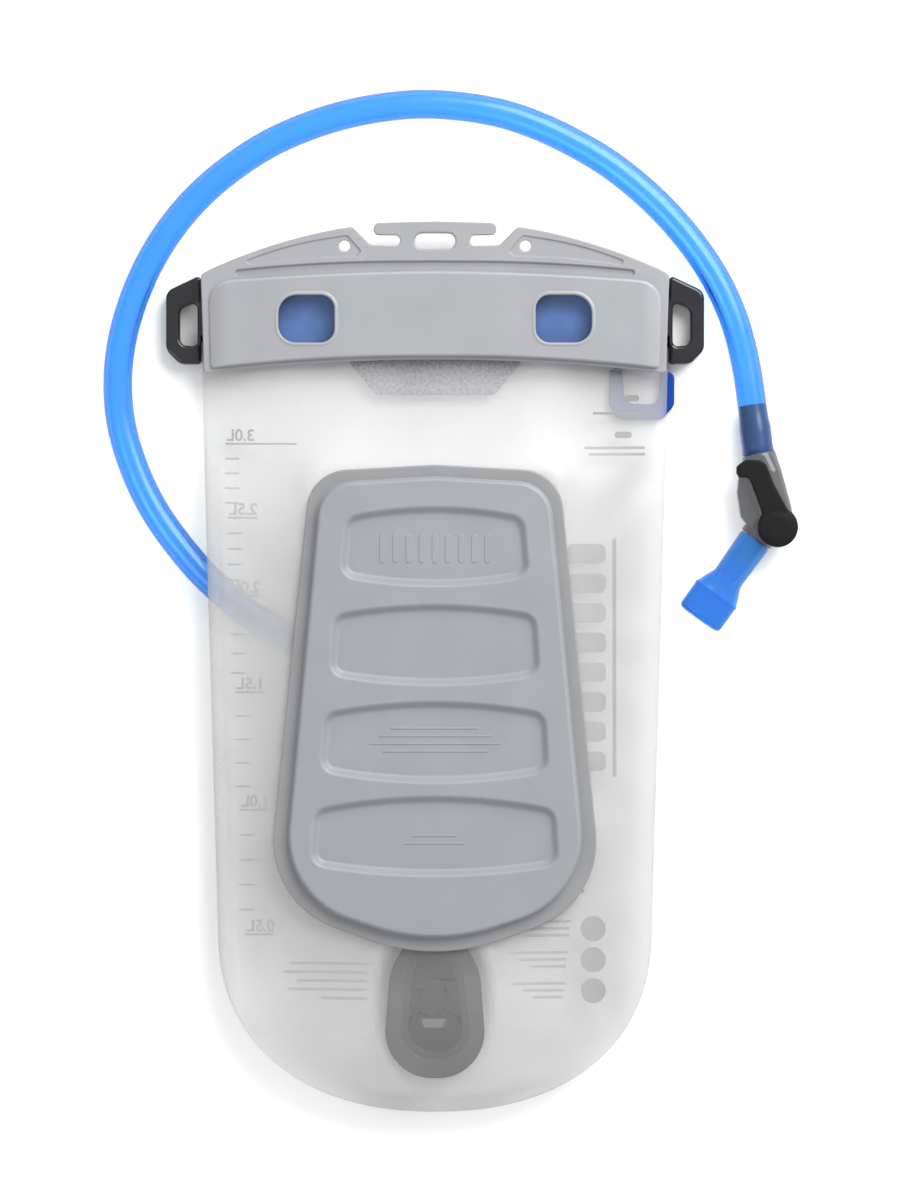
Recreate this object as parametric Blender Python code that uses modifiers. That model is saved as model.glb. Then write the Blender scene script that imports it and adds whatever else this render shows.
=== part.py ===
"""A three-litre hydration bladder, lying flat on its front with its stiff back plate up.

+X is the object's right as it is seen from above, +Y runs towards the header and the hang bar, and
+Z is up. The origin is under the middle of the bag, on the surface that it lies on. Sizes are in
millimetres, and the helper functions turn them into metres.
"""
import math

import bmesh
import bpy
import numpy as np
from mathutils import Matrix, Vector

MM = 0.001
GAP = 0.3                      # left between pieces that touch

# Bag: two films welded round the rim, straight sides and a round bottom
BAG_TOP_Y = 147.2              # where the films end in the zip
BAG_BEND_Y = -121.2            # where the straight sides turn into the round bottom
BAG_END_Y = -205.2
BAG_HALF_TOP = 107.9           # half width at the zip
BAG_HALF_BEND = 100.0
BAG_ROUND = 2.25               # exponent of the round bottom
FILM = 0.6
RIM = 3.0                      # width of the weld
RIM_Z_TOP, RIM_Z = 6.6, 15.2   # height of the weld at the zip and along the sides

# Back plate
PLATE_Z = (34.0, 36.0)
DOME_Z = 41.0
DOME_ROOF = 37.2               # underside of the hollow dome
PANEL_DEPTH = 2.6
PANEL_WALL = 4.0               # width of a recessed panel's sloping walls

# Header with its hang bar
HEADER_Z = (12.8, 15.8)
PAD_Z = 18.8
PAD_ROOF = 15.6                # underside of the hollow pad
SLOT_Y = (192.5, 199.6)        # central hang slot
BAR_Y = (198.7, 205.2)         # hang bar
BAR_HALF = 28.4

# Zip: two strips pressed together, between two black end loops
ZIP_Y = (147.5, 172.5)
ZIP_HALF = 103.5
ZIP_FRONT_Z = (4.6, 6.6)
ZIP_BACK_Z = (7.6, 9.6)
LOOP_Z = (0.4, 8.8)
SLIDER_X = 91.0                # zip closed
SLIDER_HALF = 12.0
PULL_AXIS = (148.3, 2.2)       # y and z of the pull's hinge
PULL_Z = (0.4, 4.0)

# Port on the front film, with the quick-link coupling in it
PORT_AXIS_Z = 8.5
PORT_MOUTH_Y = -143.0
PORT_STEP_Y = -156.0           # plug bore, then nose bore
PORT_SEAT_Y = -163.0           # nose bore, then poppet chamber
PORT_END_Y = -173.4
PORT_FLANGE_Z = (15.6, 17.4)
LATCH_Y = (-151.0, -148.5)

# Drink tube
TUBE_R = 6.75
TUBE_Z = 7.0
TUBE_START_Y = -140.0
VALVE_Z = 9.0                  # height of the shut-off valve's axis
TUBE_ROUTE = (
    (0, TUBE_START_Y, PORT_AXIS_Z), (0, -118, 8.2), (-0.5, -96, TUBE_Z), (-4, -70, TUBE_Z),
    (-13, -42, TUBE_Z), (-27, -19.5, TUBE_Z), (-45, -1.5, TUBE_Z), (-65.8, 12, TUBE_Z),
    (-86, 24.2, TUBE_Z), (-105, 40.5, TUBE_Z), (-118.4, 55.7, TUBE_Z), (-129.8, 72, TUBE_Z),
    (-138.6, 90, TUBE_Z), (-144.8, 110, TUBE_Z), (-146.8, 130, TUBE_Z), (-145, 149.7, TUBE_Z),
    (-139.7, 169, TUBE_Z), (-131.6, 187.4, TUBE_Z), (-120.8, 204.3, TUBE_Z),
    (-107.8, 219, TUBE_Z), (-92.6, 231.6, TUBE_Z), (-76.2, 242, TUBE_Z), (-58.6, 249.8, TUBE_Z),
    (-41.2, 255.2, TUBE_Z), (-23.2, 258.6, TUBE_Z), (-5.2, 260, TUBE_Z), (13, 258.8, TUBE_Z),
    (31, 255.6, TUBE_Z), (48, 249.8, TUBE_Z), (64.4, 242, TUBE_Z), (80.2, 232.6, TUBE_Z),
    (94.7, 221.3, TUBE_Z), (108.2, 208.3, TUBE_Z), (120.4, 193.6, TUBE_Z),
    (130.9, 177.2, TUBE_Z), (138.8, 159, TUBE_Z), (143.8, 139.4, TUBE_Z), (146.8, 119, 7.8),
    (149.5, 97.9, VALVE_Z),
)
UNPLUG = 22.0                  # travel of the plug out of the port

# Shut-off valve and bite valve
VALVE_TOP = (149.9, 96.5)      # where the tube meets the valve
PIVOT = (157.8, 64.2)          # the lever's axis
COLLAR = (148.1, 58.6)         # where the bite valve meets the shut-off valve
BITE_WAY = Vector((-0.582, -0.813, 0.0)).normalized()
VALVE_R = 8.5
CHAMBER_TOP = 17.4
LEVER_Z = (17.8, 21.2)
HOOK_LOW = 15.5                # the lever's thumb hook, clear of the bite valve when it is shut


# Scene, materials and shapes

def start():
    """Empty the scene, and make the collections that hold the parts and the cutters."""
    for old in list(bpy.data.objects):
        bpy.data.objects.remove(old, do_unlink=True)
    made = []
    for name in ("hydration_bladder", "cutters"):
        group = bpy.data.collections.new(name)
        bpy.context.scene.collection.children.link(group)
        made.append(group)
    return made


PARTS, CUTTERS = start()


def material(name, colour, roughness, alpha=1.0):
    mat = bpy.data.materials.new(name)
    mat.use_nodes = True
    shader = mat.node_tree.nodes["Principled BSDF"]
    shader.inputs["Base Color"].default_value = (*colour, 1.0)
    shader.inputs["Roughness"].default_value = roughness
    shader.inputs["Metallic"].default_value = 0.0
    shader.inputs["Alpha"].default_value = alpha
    return mat


FILM_CLEAR = material("film_clear", (0.82, 0.82, 0.84), 0.45, 0.6)
PLATE_GREY = material("plate_grey", (0.40, 0.42, 0.45), 0.5)
HEADER_GREY = material("header_grey", (0.48, 0.49, 0.52), 0.45)
ZIP_BLUE = material("zip_blue", (0.10, 0.19, 0.45), 0.4)
GLOSS_BLACK = material("gloss_black", (0.012, 0.012, 0.014), 0.18)
PORT_GREY = material("port_grey", (0.12, 0.12, 0.13), 0.5)
TUBE_BLUE = material("tube_blue", (0.05, 0.30, 0.85), 0.25, 0.8)
SMOKE = material("smoke", (0.18, 0.18, 0.19), 0.2, 0.8)
LEVER_DARK = material("lever_dark", (0.02, 0.02, 0.02), 0.4)
SILICONE_BLUE = material("silicone_blue", (0.01, 0.16, 0.62), 0.3)
SEAL_BLACK = material("seal_black", (0.02, 0.02, 0.02), 0.6)
STEEL = material("steel", (0.55, 0.55, 0.55), 0.3)


def keep(obj, mat):
    """Put a finished piece with the parts."""
    for group in list(obj.users_collection):
        group.objects.unlink(obj)
    PARTS.objects.link(obj)
    obj.data.materials.clear()
    obj.data.materials.append(mat)
    obj.data.shade_smooth()
    obj.data.set_sharp_from_angle(angle=math.radians(35))
    return obj


def mesh_object(name, bm):
    bmesh.ops.recalc_face_normals(bm, faces=bm.faces)
    mesh = bpy.data.meshes.new(name)
    bm.to_mesh(mesh)
    bm.free()
    return bpy.data.objects.new(name, mesh)


def baked(guide, name):
    """The guide's evaluated shape as a mesh object of its own, with its caps welded."""
    bpy.context.scene.collection.objects.link(guide)
    graph = bpy.context.evaluated_depsgraph_get()
    mesh = bpy.data.meshes.new_from_object(guide.evaluated_get(graph))
    bm = bmesh.new()
    bm.from_mesh(mesh)
    bmesh.ops.remove_doubles(bm, verts=bm.verts, dist=0.00001)
    bmesh.ops.recalc_face_normals(bm, faces=bm.faces)
    bm.to_mesh(mesh)
    bm.free()
    obj = bpy.data.objects.new(name, mesh)
    obj.matrix_world = guide.matrix_world
    bpy.data.objects.remove(guide, do_unlink=True)
    return obj


def box(name, x, y, z):
    bm = bmesh.new()
    size = Matrix.Diagonal(((x[1] - x[0]) * MM, (y[1] - y[0]) * MM, (z[1] - z[0]) * MM, 1))
    middle = Vector((sum(x), sum(y), sum(z))) / 2 * MM
    bmesh.ops.create_cube(bm, size=1, matrix=Matrix.Translation(middle) @ size)
    return mesh_object(name, bm)


def cylinder(name, radius, start, end, sides=32):
    """A solid cylinder between two points."""
    a, b = Vector(start) * MM, Vector(end) * MM
    turn = (b - a).to_track_quat("Z", "Y").to_matrix().to_4x4()
    bm = bmesh.new()
    bmesh.ops.create_cone(
        bm, cap_ends=True, segments=sides, radius1=radius * MM, radius2=radius * MM,
        depth=(b - a).length, matrix=Matrix.Translation((a + b) / 2) @ turn)
    return mesh_object(name, bm)


def prism(name, outlines, low, high, edge=0.0):
    """A flat plate between two heights. The outlines after the first are holes in it."""
    curve = bpy.data.curves.new(name, "CURVE")
    curve.dimensions = "2D"
    curve.fill_mode = "BOTH"
    curve.extrude = (high - low) / 2 * MM - edge * MM
    curve.bevel_depth = edge * MM
    curve.bevel_resolution = 0
    curve.offset = -edge * MM
    for outline in outlines:
        spline = curve.splines.new("POLY")
        spline.points.add(len(outline) - 1)
        for point, (x, y) in zip(spline.points, outline):
            point.co = (x * MM, y * MM, 0, 1)
        spline.use_cyclic_u = True
    guide = bpy.data.objects.new(name + "_outline", curve)
    guide.matrix_world = Matrix.Translation((0, 0, (low + high) / 2 * MM))
    return baked(guide, name)


def tapered(name, below, above, low, high):
    """A solid between two outlines with as many points, at two heights."""
    bm = bmesh.new()
    loops = []
    for outline, z in ((below, low), (above, high)):
        loops.append([bm.verts.new((x * MM, y * MM, z * MM)) for x, y in outline])
    bm.faces.new(loops[0])
    bm.faces.new(loops[1])
    for i in range(len(below)):
        bm.faces.new((loops[0][i - 1], loops[0][i], loops[1][i], loops[1][i - 1]))
    return mesh_object(name, bm)


def turned(name, profile, start, way, sides=28, closed=False):
    """A profile of (radius, distance) points, from its far end down, turned about an axis."""
    bm = bmesh.new()
    verts = [bm.verts.new((r * MM, 0, d * MM)) for r, d in profile]
    for a, b in zip(verts, verts[1:]):
        bm.edges.new((a, b))
    if closed:
        bm.edges.new((verts[-1], verts[0]))
    mesh = bpy.data.meshes.new(name)
    bm.to_mesh(mesh)
    bm.free()
    guide = bpy.data.objects.new(name + "_profile", mesh)
    turn = Vector(way).to_track_quat("Z", "Y").to_matrix().to_4x4()
    guide.matrix_world = Matrix.Translation(Vector(start) * MM) @ turn
    screw = guide.modifiers.new("turn", "SCREW")
    screw.axis = "Z"
    screw.steps = sides
    screw.render_steps = sides
    screw.use_merge_vertices = True
    screw.merge_threshold = 0.00001
    return baked(guide, name)


def ring(name, radius, wire, centre, way, sides=20):
    """An O-ring: a small circle turned about an axis."""
    angles = [-math.tau * i / 8 for i in range(8)]
    profile = [(radius + wire * math.cos(a), wire * math.sin(a)) for a in angles]
    return turned(name, profile, centre, way, sides, closed=True)


def loft(name, sections, start, way, sides=24):
    """Elliptical sections (distance, half width, half height) along an axis, capped at both ends."""
    way = Vector(way).normalized()
    across = way.cross(Vector((0, 0, 1))).normalized()
    bm = bmesh.new()
    rings = []
    for distance, wide, high in sections:
        centre = Vector(start) + way * distance
        loop = []
        for i in range(sides):
            a = math.tau * i / sides
            point = centre + across * (wide * math.cos(a)) + Vector((0, 0, high * math.sin(a)))
            loop.append(bm.verts.new(point * MM))
        rings.append(loop)
    for near, far in zip(rings, rings[1:]):
        for i in range(sides):
            j = (i + 1) % sides
            bm.faces.new((near[i], near[j], far[j], far[i]))
    bm.faces.new(rings[0])
    bm.faces.new(rings[-1])
    return mesh_object(name, bm)


def smooth_path(points, spacing):
    """Points at an even spacing on a smooth curve through the given ones."""
    pts = [Vector(p) for p in points]
    pts = [pts[0] * 2 - pts[1]] + pts + [pts[-1] * 2 - pts[-2]]
    fine = []
    for a, b, c, d in zip(pts, pts[1:], pts[2:], pts[3:]):
        for i in range(12):
            t = i / 12
            fine.append(0.5 * (2 * b + (c - a) * t + (2 * a - 5 * b + 4 * c - d) * t ** 2
                               + (3 * b - a - 3 * c + d) * t ** 3))
    fine.append(pts[-2])
    steps = [(q - p).length for p, q in zip(fine, fine[1:])]
    run = np.concatenate(([0.0], np.cumsum(steps)))
    count = round(run[-1] / spacing)
    at = np.linspace(0, run[-1], count + 1)
    columns = [np.interp(at, run, [p[k] for p in fine]) for k in range(3)]
    return [Vector(p) for p in zip(*columns)]


def wire(name, points, radius, resolution=2):
    """A round tube along points, with flat ends."""
    curve = bpy.data.curves.new(name, "CURVE")
    curve.dimensions = "3D"
    curve.bevel_depth = radius * MM
    curve.bevel_resolution = resolution
    curve.use_fill_caps = True
    spline = curve.splines.new("POLY")
    spline.points.add(len(points) - 1)
    for point, place in zip(spline.points, points):
        point.co = (*(Vector(place) * MM), 1)
    return bpy.data.objects.new(name, curve)


def boolean(obj, operation, others):
    for other in others:
        CUTTERS.objects.link(other)
        other.hide_render = True
        other.display_type = "WIRE"
        other.name = obj.name + "_" + operation.lower() + "_" + other.name
        step = obj.modifiers.new(other.name, "BOOLEAN")
        step.operation = operation
        step.solver = "EXACT"
        step.object = other
    return obj


def cut(obj, *others):
    return boolean(obj, "DIFFERENCE", others)


def join(obj, *others):
    return boolean(obj, "UNION", others)


# Outlines

def rounded(corners, steps=5):
    """A closed outline through corners (x, y, radius), each with its corner as an arc."""
    outline = []
    for i, (x, y, radius) in enumerate(corners):
        here = Vector((x, y))
        before = Vector(corners[i - 1][:2]) - here
        after = Vector(corners[(i + 1) % len(corners)][:2]) - here
        if radius <= 0:
            outline.append((x, y))
            continue
        half = before.angle(after) / 2
        reach = radius / math.tan(half)
        middle = here + (before.normalized() + after.normalized()).normalized() * radius / math.sin(half)
        first = here + before.normalized() * reach - middle
        last = here + after.normalized() * reach - middle
        sweep = first.angle_signed(last)
        for k in range(steps + 1):
            arm = first.copy()
            arm.rotate(Matrix.Rotation(-sweep * k / steps, 2))
            outline.append(tuple(middle + arm))
    return outline


def both_sides(right):
    """Corners down the right side, from the top, with the same corners up the left side."""
    return right + [(-x, y, r) for x, y, r in reversed(right) if abs(x) > 1e-6]


def bow(start, end, rise, steps=5):
    """Corners along a shallow arc from start to just before end, bulging to the left of its way."""
    a, b = Vector(start), Vector(end)
    left = Vector((a.y - b.y, b.x - a.x)).normalized()
    corners = []
    for i in range(steps):
        t = i / steps
        x, y = a.lerp(b, t) + left * (4 * rise * t * (1 - t))
        corners.append((x, y, 0))
    return corners


def arched(top, bottom, half_top, half_bottom, radius, steps=4):
    """A panel whose top and bottom edges are arched. Each is (height in the middle, at the ends)."""
    corners = []
    reach = 1 - (radius + 2) / half_top
    for i in range(steps):
        t = reach * i / (steps - 1)
        corners.append((half_top * t, top[0] + (top[1] - top[0]) * t * t, 0))
    corners.append((half_top, top[1], radius))
    corners.append((half_bottom, bottom[1], radius))
    for i in range(steps - 1, -1, -1):
        t = reach * i / (steps - 1)
        corners.append((half_bottom * t, bottom[0] + (bottom[1] - bottom[0]) * t * t, 0))
    return rounded(both_sides(corners), 3)


def grown(top, bottom, half_top, half_bottom, by):
    """An arched panel, larger all round by that much."""
    upper, lower = [y + by for y in top], [y - by for y in bottom]
    return arched(upper, lower, half_top + by, half_bottom + by, 8 + by)


# Bag

def bag_half(y):
    """Half the bag's width on its straight sides."""
    share = np.clip((y - BAG_BEND_Y) / (BAG_TOP_Y - BAG_BEND_Y), 0, 1)
    return BAG_HALF_BEND + (BAG_HALF_TOP - BAG_HALF_BEND) * share


def spread(count, half, edge):
    """Even positions from -1 to 1, with one more step at each end as wide as the weld."""
    inner = np.linspace(-1 + edge / half, 1 - edge / half, count)
    return np.concatenate(([-1.0], inner, [1.0]))


def bag_grid(across, down, down_round):
    """Places of the film's grid: straight rows, then rows that bend round the bottom."""
    u = spread(across, BAG_HALF_BEND, RIM)
    rows = []
    for y in np.linspace(BAG_TOP_Y, BAG_BEND_Y, down):
        rows.append([(a * bag_half(y), y) for a in u])
    depth = BAG_BEND_Y - BAG_END_Y
    steps = np.append(np.linspace(0, 1 - RIM / depth, down_round + 1)[1:], 1.0)
    for t in steps:
        row = []
        for a in u:
            x, y = a * math.sqrt(1 - t * t / 2), t * math.sqrt(1 - a * a / 2)
            size = math.hypot(x, y)
            fuller = 1.0
            if size > 0:
                power = (abs(x / size) ** BAG_ROUND + y / size * (y / size) ** (BAG_ROUND - 1))
                fuller = 1 + (power ** (-1 / BAG_ROUND) - 1) * size ** 2
            row.append((x * fuller * BAG_HALF_BEND, BAG_BEND_Y - y * fuller * depth))
        rows.append(row)
    return np.array(rows)


def settle(z, fixed, low, high, push, rounds=900):
    """Stretch a film like a membrane between its fixed points, low and high limits."""
    for _ in range(rounds):
        middle = (z[:-2, 1:-1] + z[2:, 1:-1] + z[1:-1, :-2] + z[1:-1, 2:]) / 4 + push
        middle = np.clip(middle, low[1:-1, 1:-1], high[1:-1, 1:-1])
        z[1:-1, 1:-1] = np.where(fixed[1:-1, 1:-1], z[1:-1, 1:-1], middle)
    return z


def rim_height(y):
    t = np.clip((y - 68) / (134 - 68), 0, 1)
    return RIM_Z + (RIM_Z_TOP - RIM_Z) * t * t * (3 - 2 * t)


def on_rim(shape):
    """Marks the grid's weld: the two outer lines on each side and at the bottom."""
    mask = np.zeros(shape, dtype=bool)
    mask[:, :2] = mask[:, -2:] = True
    mask[-2:, :] = True
    return mask


def tube_lane(x, y):
    """Distance from a place to the tube, wherever the plug's travel takes the tube."""
    path = smooth_path(TUBE_ROUTE[:12], 8)
    best = np.full(x.shape, 1e9)
    for shift in np.linspace(0, UNPLUG, 4):
        for p in path:
            best = np.minimum(best, np.hypot(x - p.x, y - p.y - shift))
    return best


def front_limits(x, y):
    """Lowest heights of the front film: the floor, and what lies under the bag."""
    low = np.full(x.shape, 0.8)
    low = np.maximum(low, 16.2 / (1 + (tube_lane(x, y) / 20) ** 4))
    aside = np.hypot(np.maximum(abs(x) - 25, 0), np.maximum(np.maximum(y + 116, -191 - y), 0))
    low = np.maximum(low, 18.4 / (1 + (aside / 15) ** 4))
    return np.where(y > 108, np.maximum(low, 6.3), low)


def film_object(name, places, z):
    """A grid moved to the film's places, and thickened."""
    rows, columns = z.shape
    bm = bmesh.new()
    bmesh.ops.create_grid(bm, x_segments=columns - 1, y_segments=rows - 1, size=1)
    for v in bm.verts:
        i = round((1 - v.co.y) / 2 * (rows - 1))
        j = round((v.co.x + 1) / 2 * (columns - 1))
        v.co = (places[i, j, 0] * MM, places[i, j, 1] * MM, z[i, j] * MM)
    obj = mesh_object(name, bm)
    thick = obj.modifiers.new("film", "SOLIDIFY")
    thick.thickness = FILM * MM
    thick.offset = 0
    return obj


def films():
    places = bag_grid(15, 20, 7)
    x, y = places[..., 0], places[..., 1]
    rim = on_rim(x.shape)
    weld = rim_height(y)
    top = np.zeros(x.shape, dtype=bool)
    top[0, :] = True
    apart = (FILM + GAP + 0.1) / 2
    at_zip = np.clip((BAG_HALF_TOP - RIM - abs(x)) / 8, 0, 1)

    front = np.where(rim, weld - apart, 6.0)
    front[0] = weld[0] - apart + (6.3 - weld[0] + apart) * at_zip[0]
    far = np.full(x.shape, 99.0)
    front = settle(front, rim | top, front_limits(x, y), far, -0.35)

    back = np.where(rim, weld + apart, 20.0)
    back[0] = weld[0] + apart + (8.6 - weld[0] - apart) * at_zip[0]
    plate = (abs(x) < plate_half(y)) & (y < 92) & (y > -131)
    back = np.where(plate, PLATE_Z[0] - GAP - FILM / 2 - 0.1, back)
    roof = np.where(y > 130, HEADER_Z[0] - 0.8, PLATE_Z[0] - GAP - FILM / 2 - 0.1)
    back = settle(back, rim | top | plate, np.where(rim, 0, front + 1.6), roof, 0.12)

    upper = keep(film_object("back_film", places, back), FILM_CLEAR)
    lower = keep(film_object("front_film", places, front), FILM_CLEAR)
    cut(lower, cylinder("inlet", 4.2, (0, -169.5, 10), (0, -169.5, 24), 20))
    return upper, lower


# Back plate

def plate_half(y):
    """Half the back plate's width, roughly, where the film is flat under it."""
    side = 59.1 + 0.102 * (69.2 - y)
    return np.where(y < -82, np.maximum(side - (-82 - y) * 1.25, 0), side)


def back_plate():
    flange = rounded(both_sides([(0, 92.4, 0), (56.9, 89.2, 19), (77.0, -108.0, 42), (0, -135.7, 90)]), 7)
    rise = [(0, 86.4, 0), (51.8, 83.4, 16), (69.2, -105.0, 40), (0, -127.6, 90)]
    dome = rounded(both_sides(rise), 7)
    hollow = rounded(both_sides([(0, 83, 0), (48.6, 80.2, 14), (65.4, -102.6, 37), (0, -124.0, 85)]), 5)
    plate = prism("back_plate", [flange], *PLATE_Z)
    join(plate, prism("dome", [dome], PLATE_Z[1] - 0.5, DOME_Z, 1.2))
    cut(plate, prism("inside", [hollow], PLATE_Z[0] - 1, DOME_ROOF))
    panels = (
        ((73.8, 69.2), (36.1, 40.7), 41.6, 44.2),
        ((29.2, 24.6), (-9.0, -4.4), 47.2, 49.0),
        ((-15.0, -20.2), (-53.6, -48.3), 51.5, 53.1),
        ((-58.2, -64.2), (-96.1, -91.0), 55.9, 57.7),
    )
    for number, (top, bottom, half_top, half_bottom) in enumerate(panels, 1):
        floor = grown(top, bottom, half_top, half_bottom, -PANEL_WALL)
        mouth = grown(top, bottom, half_top, half_bottom, PANEL_WALL)
        heights = (DOME_Z - PANEL_DEPTH, DOME_Z + PANEL_DEPTH)
        cut(plate, tapered("panel_%d" % number, floor, mouth, *heights))
    return keep(plate, PLATE_GREY)


# Header

def header_panel():
    side = [(29.7, 194.4, 2), (38.0, 203.0, 2.5)] + bow((45.0, 201.5), (103.5, 183.4), 1.8)
    side += [(103.5, 183.4, 0), (108.0, 180.8, 2), (106.5, 134.8, 2)]
    side += bow((102.0, 135.6), (0, 141.5), -1.5) + [(0, 141.5, 0)]
    panel = prism("header_panel", [rounded(both_sides(side))], *HEADER_Z)
    neck = [(-16.1, 193.4), (16.1, 193.4), (16.1, 200.2), (-16.1, 200.2)]
    join(panel, prism("necks", [neck], *HEADER_Z))
    bar = both_sides([(0, BAR_Y[1], 0), (BAR_HALF, BAR_Y[1] - 0.8, 2.6), (BAR_HALF, BAR_Y[0], 2.6)])
    join(panel, prism("hang_bar", [rounded(bar)], *HEADER_Z))
    pad = bow((0, 182.4), (92, 178.4), 0.8) + [(92, 178.4, 0), (104.8, 176.6, 9), (103.6, 136.4, 2)]
    pad += bow((100.0, 136.8), (0, 142.2), -1.5) + [(0, 142.2, 0)]
    pad_outline = rounded(both_sides(pad))
    join(panel, prism("pad", [pad_outline], HEADER_Z[1] - 0.5, PAD_Z, 1.0))
    under = bow((0, 179.4), (90, 175.4), 0.8) + [(90, 175.4, 0), (101.8, 173.8, 7), (100.8, 146.0, 2)]
    cut(panel, prism("pad_hollow", [rounded(both_sides(under))], HEADER_Z[0] - 1, PAD_ROOF))
    slot = [(9.3, SLOT_Y[1], 3.2), (9.3, SLOT_Y[0], 3.2)]
    slot += [(-9.3, SLOT_Y[0], 3.2), (-9.3, SLOT_Y[1], 3.2)]
    through = (HEADER_Z[0] - 1, PAD_Z + 1)
    cut(panel, prism("hang_slot", [rounded(slot)], *through))
    for side_sign, side_name in ((-1, "left"), (1, "right")):
        x = side_sign * 41.7
        cut(panel, cylinder("hole_" + side_name, 2.65, (x, 193.8, 10), (x, 193.8, 18), 20))
        window = [(46.3, 171.1, 5), (72.2, 171.1, 8), (72.2, 149.1, 7), (46.3, 149.1, 5)]
        window = [(side_sign * px, py, r) for px, py, r in window]
        cut(panel, prism("window_" + side_name, [rounded(window)], *through))
    return keep(panel, HEADER_GREY)


def grip_tab():
    tab = both_sides([(40.0, 147.0, 1), (40.0, 141.0, 4), (27.5, 125.4, 6)])
    return keep(prism("grip_tab", [rounded(tab)], 4.3, 5.6), PORT_GREY)


# Zip

def zip_strips():
    along = (-ZIP_HALF, ZIP_HALF)
    back = box("zip_strip_back", along, ZIP_Y, ZIP_BACK_Z)
    join(back, box("tongue", along, (158.6, 161.4), (ZIP_FRONT_Z[1] - 0.9, ZIP_BACK_Z[0] + 0.5)))
    front = box("zip_strip_front", along, ZIP_Y, ZIP_FRONT_Z)
    cut(front, box("groove", (-110, 110), (158.2, 161.8), (ZIP_FRONT_Z[1] - 1.3, ZIP_FRONT_Z[1] + 1)))
    for y in (155.6, 164.4):
        rib = (y - 1.0, y + 1.0)
        join(front, box("rib", along, rib, (ZIP_FRONT_Z[1] - 0.5, ZIP_BACK_Z[0] - GAP)))
    return keep(back, ZIP_BLUE), keep(front, ZIP_BLUE)


def end_loop(name, sign):
    outer = [
        (108.5, 181.0, 0.5), (124.5, 173.4, 4), (124.5, 146.2, 4), (118.0, 139.6, 4), (108.5, 139.6, 0.5),
        (108.5, 151.0, 0), (103.8, 151.0, 0.5), (103.8, 170.0, 0.5), (108.5, 170.0, 0),
    ]
    hole = [(110.0, 168.2, 2), (117.3, 164.8, 2.5), (117.3, 148.6, 2.5), (110.0, 147.9, 2)]
    outlines = [rounded([(sign * x, y, r) for x, y, r in shape]) for shape in (outer, hole)]
    return keep(prism(name, outlines, *LOOP_Z, 0.8), GLOSS_BLACK)


def zip_slider():
    along = (SLIDER_X - SLIDER_HALF, SLIDER_X + SLIDER_HALF)
    slider = box("zip_slider", along, (150.4, 176.0), (1.2, 12.2))
    for x in (SLIDER_X - 3.5, SLIDER_X + 8.0):
        join(slider, box("ear", (x, x + 3), (146.3, 151.4), (0.5, 4.0)))
    cut(slider, box("way", (60, 120), (140, 173.0), (4.2, 10.0)))
    y, z = PULL_AXIS
    cut(slider, cylinder("pin_hole", 1.5, (70, y, z), (112, y, z), 16))
    return keep(slider, GLOSS_BLACK)


def zip_pull():
    y, z = PULL_AXIS
    strap = cylinder("pull_strap", 1.2, (83.0, y, z), (108.0, y, z), 16)
    for x in (83.0, 105.0):
        join(strap, box("leg", (x, x + 3), (137.6, y + 0.5), (1.2, 3.2)))
    top, bottom = 137.3, 113.7
    outer = [(80.4, top, 1.5), (87.2, top, 1.5), (88.0, 121.4, 4), (103.6, 121.4, 4), (104.0, top, 1.5)]
    outer += [(109.6, top, 1.5), (111.2, 119.0, 6), (106.0, bottom, 5), (84.0, bottom + 0.8, 5), (80.4, 119.5, 5)]
    handle = prism("pull_handle", [rounded(outer)], *PULL_Z, 0.8)
    return keep(strap, SEAL_BLACK), keep(handle, SILICONE_BLUE)


# Port and quick-link coupling

def along_port(name, radius, y_from, y_to, sides=32):
    return cylinder(name, radius, (0, y_from, PORT_AXIS_Z), (0, y_to, PORT_AXIS_Z), sides)


def port_base():
    drop = [(0, -121.0, 0), (9.5, -121.0, 3), (20.6, -139.5, 28), (24.6, -189.4, 21.5), (0, -189.4, 0)]
    base = prism("port_base", [rounded(both_sides(drop), 10)], *PORT_FLANGE_Z)
    step = [(15.2, PORT_MOUTH_Y - 0.6, 2), (15.2, -181.0, 14)]
    join(base, prism("step", [rounded(both_sides(step))], 13.4, PORT_FLANGE_Z[0] + 0.5))
    body = [(12.0, PORT_MOUTH_Y, 2), (12.0, -176.4, 11)]
    join(base, prism("housing", [rounded(both_sides(body))], 0.0, PORT_FLANGE_Z[0] + 0.5))
    cut(base, along_port("plug_bore", 5.3, PORT_MOUTH_Y + 5, PORT_STEP_Y))
    cut(base, along_port("nose_bore", 3.9, PORT_STEP_Y + 2, PORT_SEAT_Y - 1))
    cut(base, along_port("poppet_chamber", 4.8, PORT_SEAT_Y, PORT_END_Y))
    cut(base, cylinder("inlet", 3.2, (0, -169.5, PORT_AXIS_Z), (0, -169.5, 20), 20))
    cut(base, box("latch_slot", (-7.3, 7.3), (LATCH_Y[0] - GAP, LATCH_Y[1] + GAP), (-1, 15.2)))
    cut(base, box("button_pocket", (-4.9, 4.9), (-153.4, -146.1), (-1, 3.6)))
    return keep(base, PORT_GREY)


def release_latch():
    latch = box("release_latch", (-7.0, 7.0), LATCH_Y, (0.9, 13.4))
    join(latch, box("button", (-4.5, 4.5), (-153.0, -146.5), (0.7, 1.8)))
    cut(latch, along_port("plug_way", 5.4, LATCH_Y[0] - 4, LATCH_Y[1] + 4, 24))
    return keep(latch, LEVER_DARK)


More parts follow.
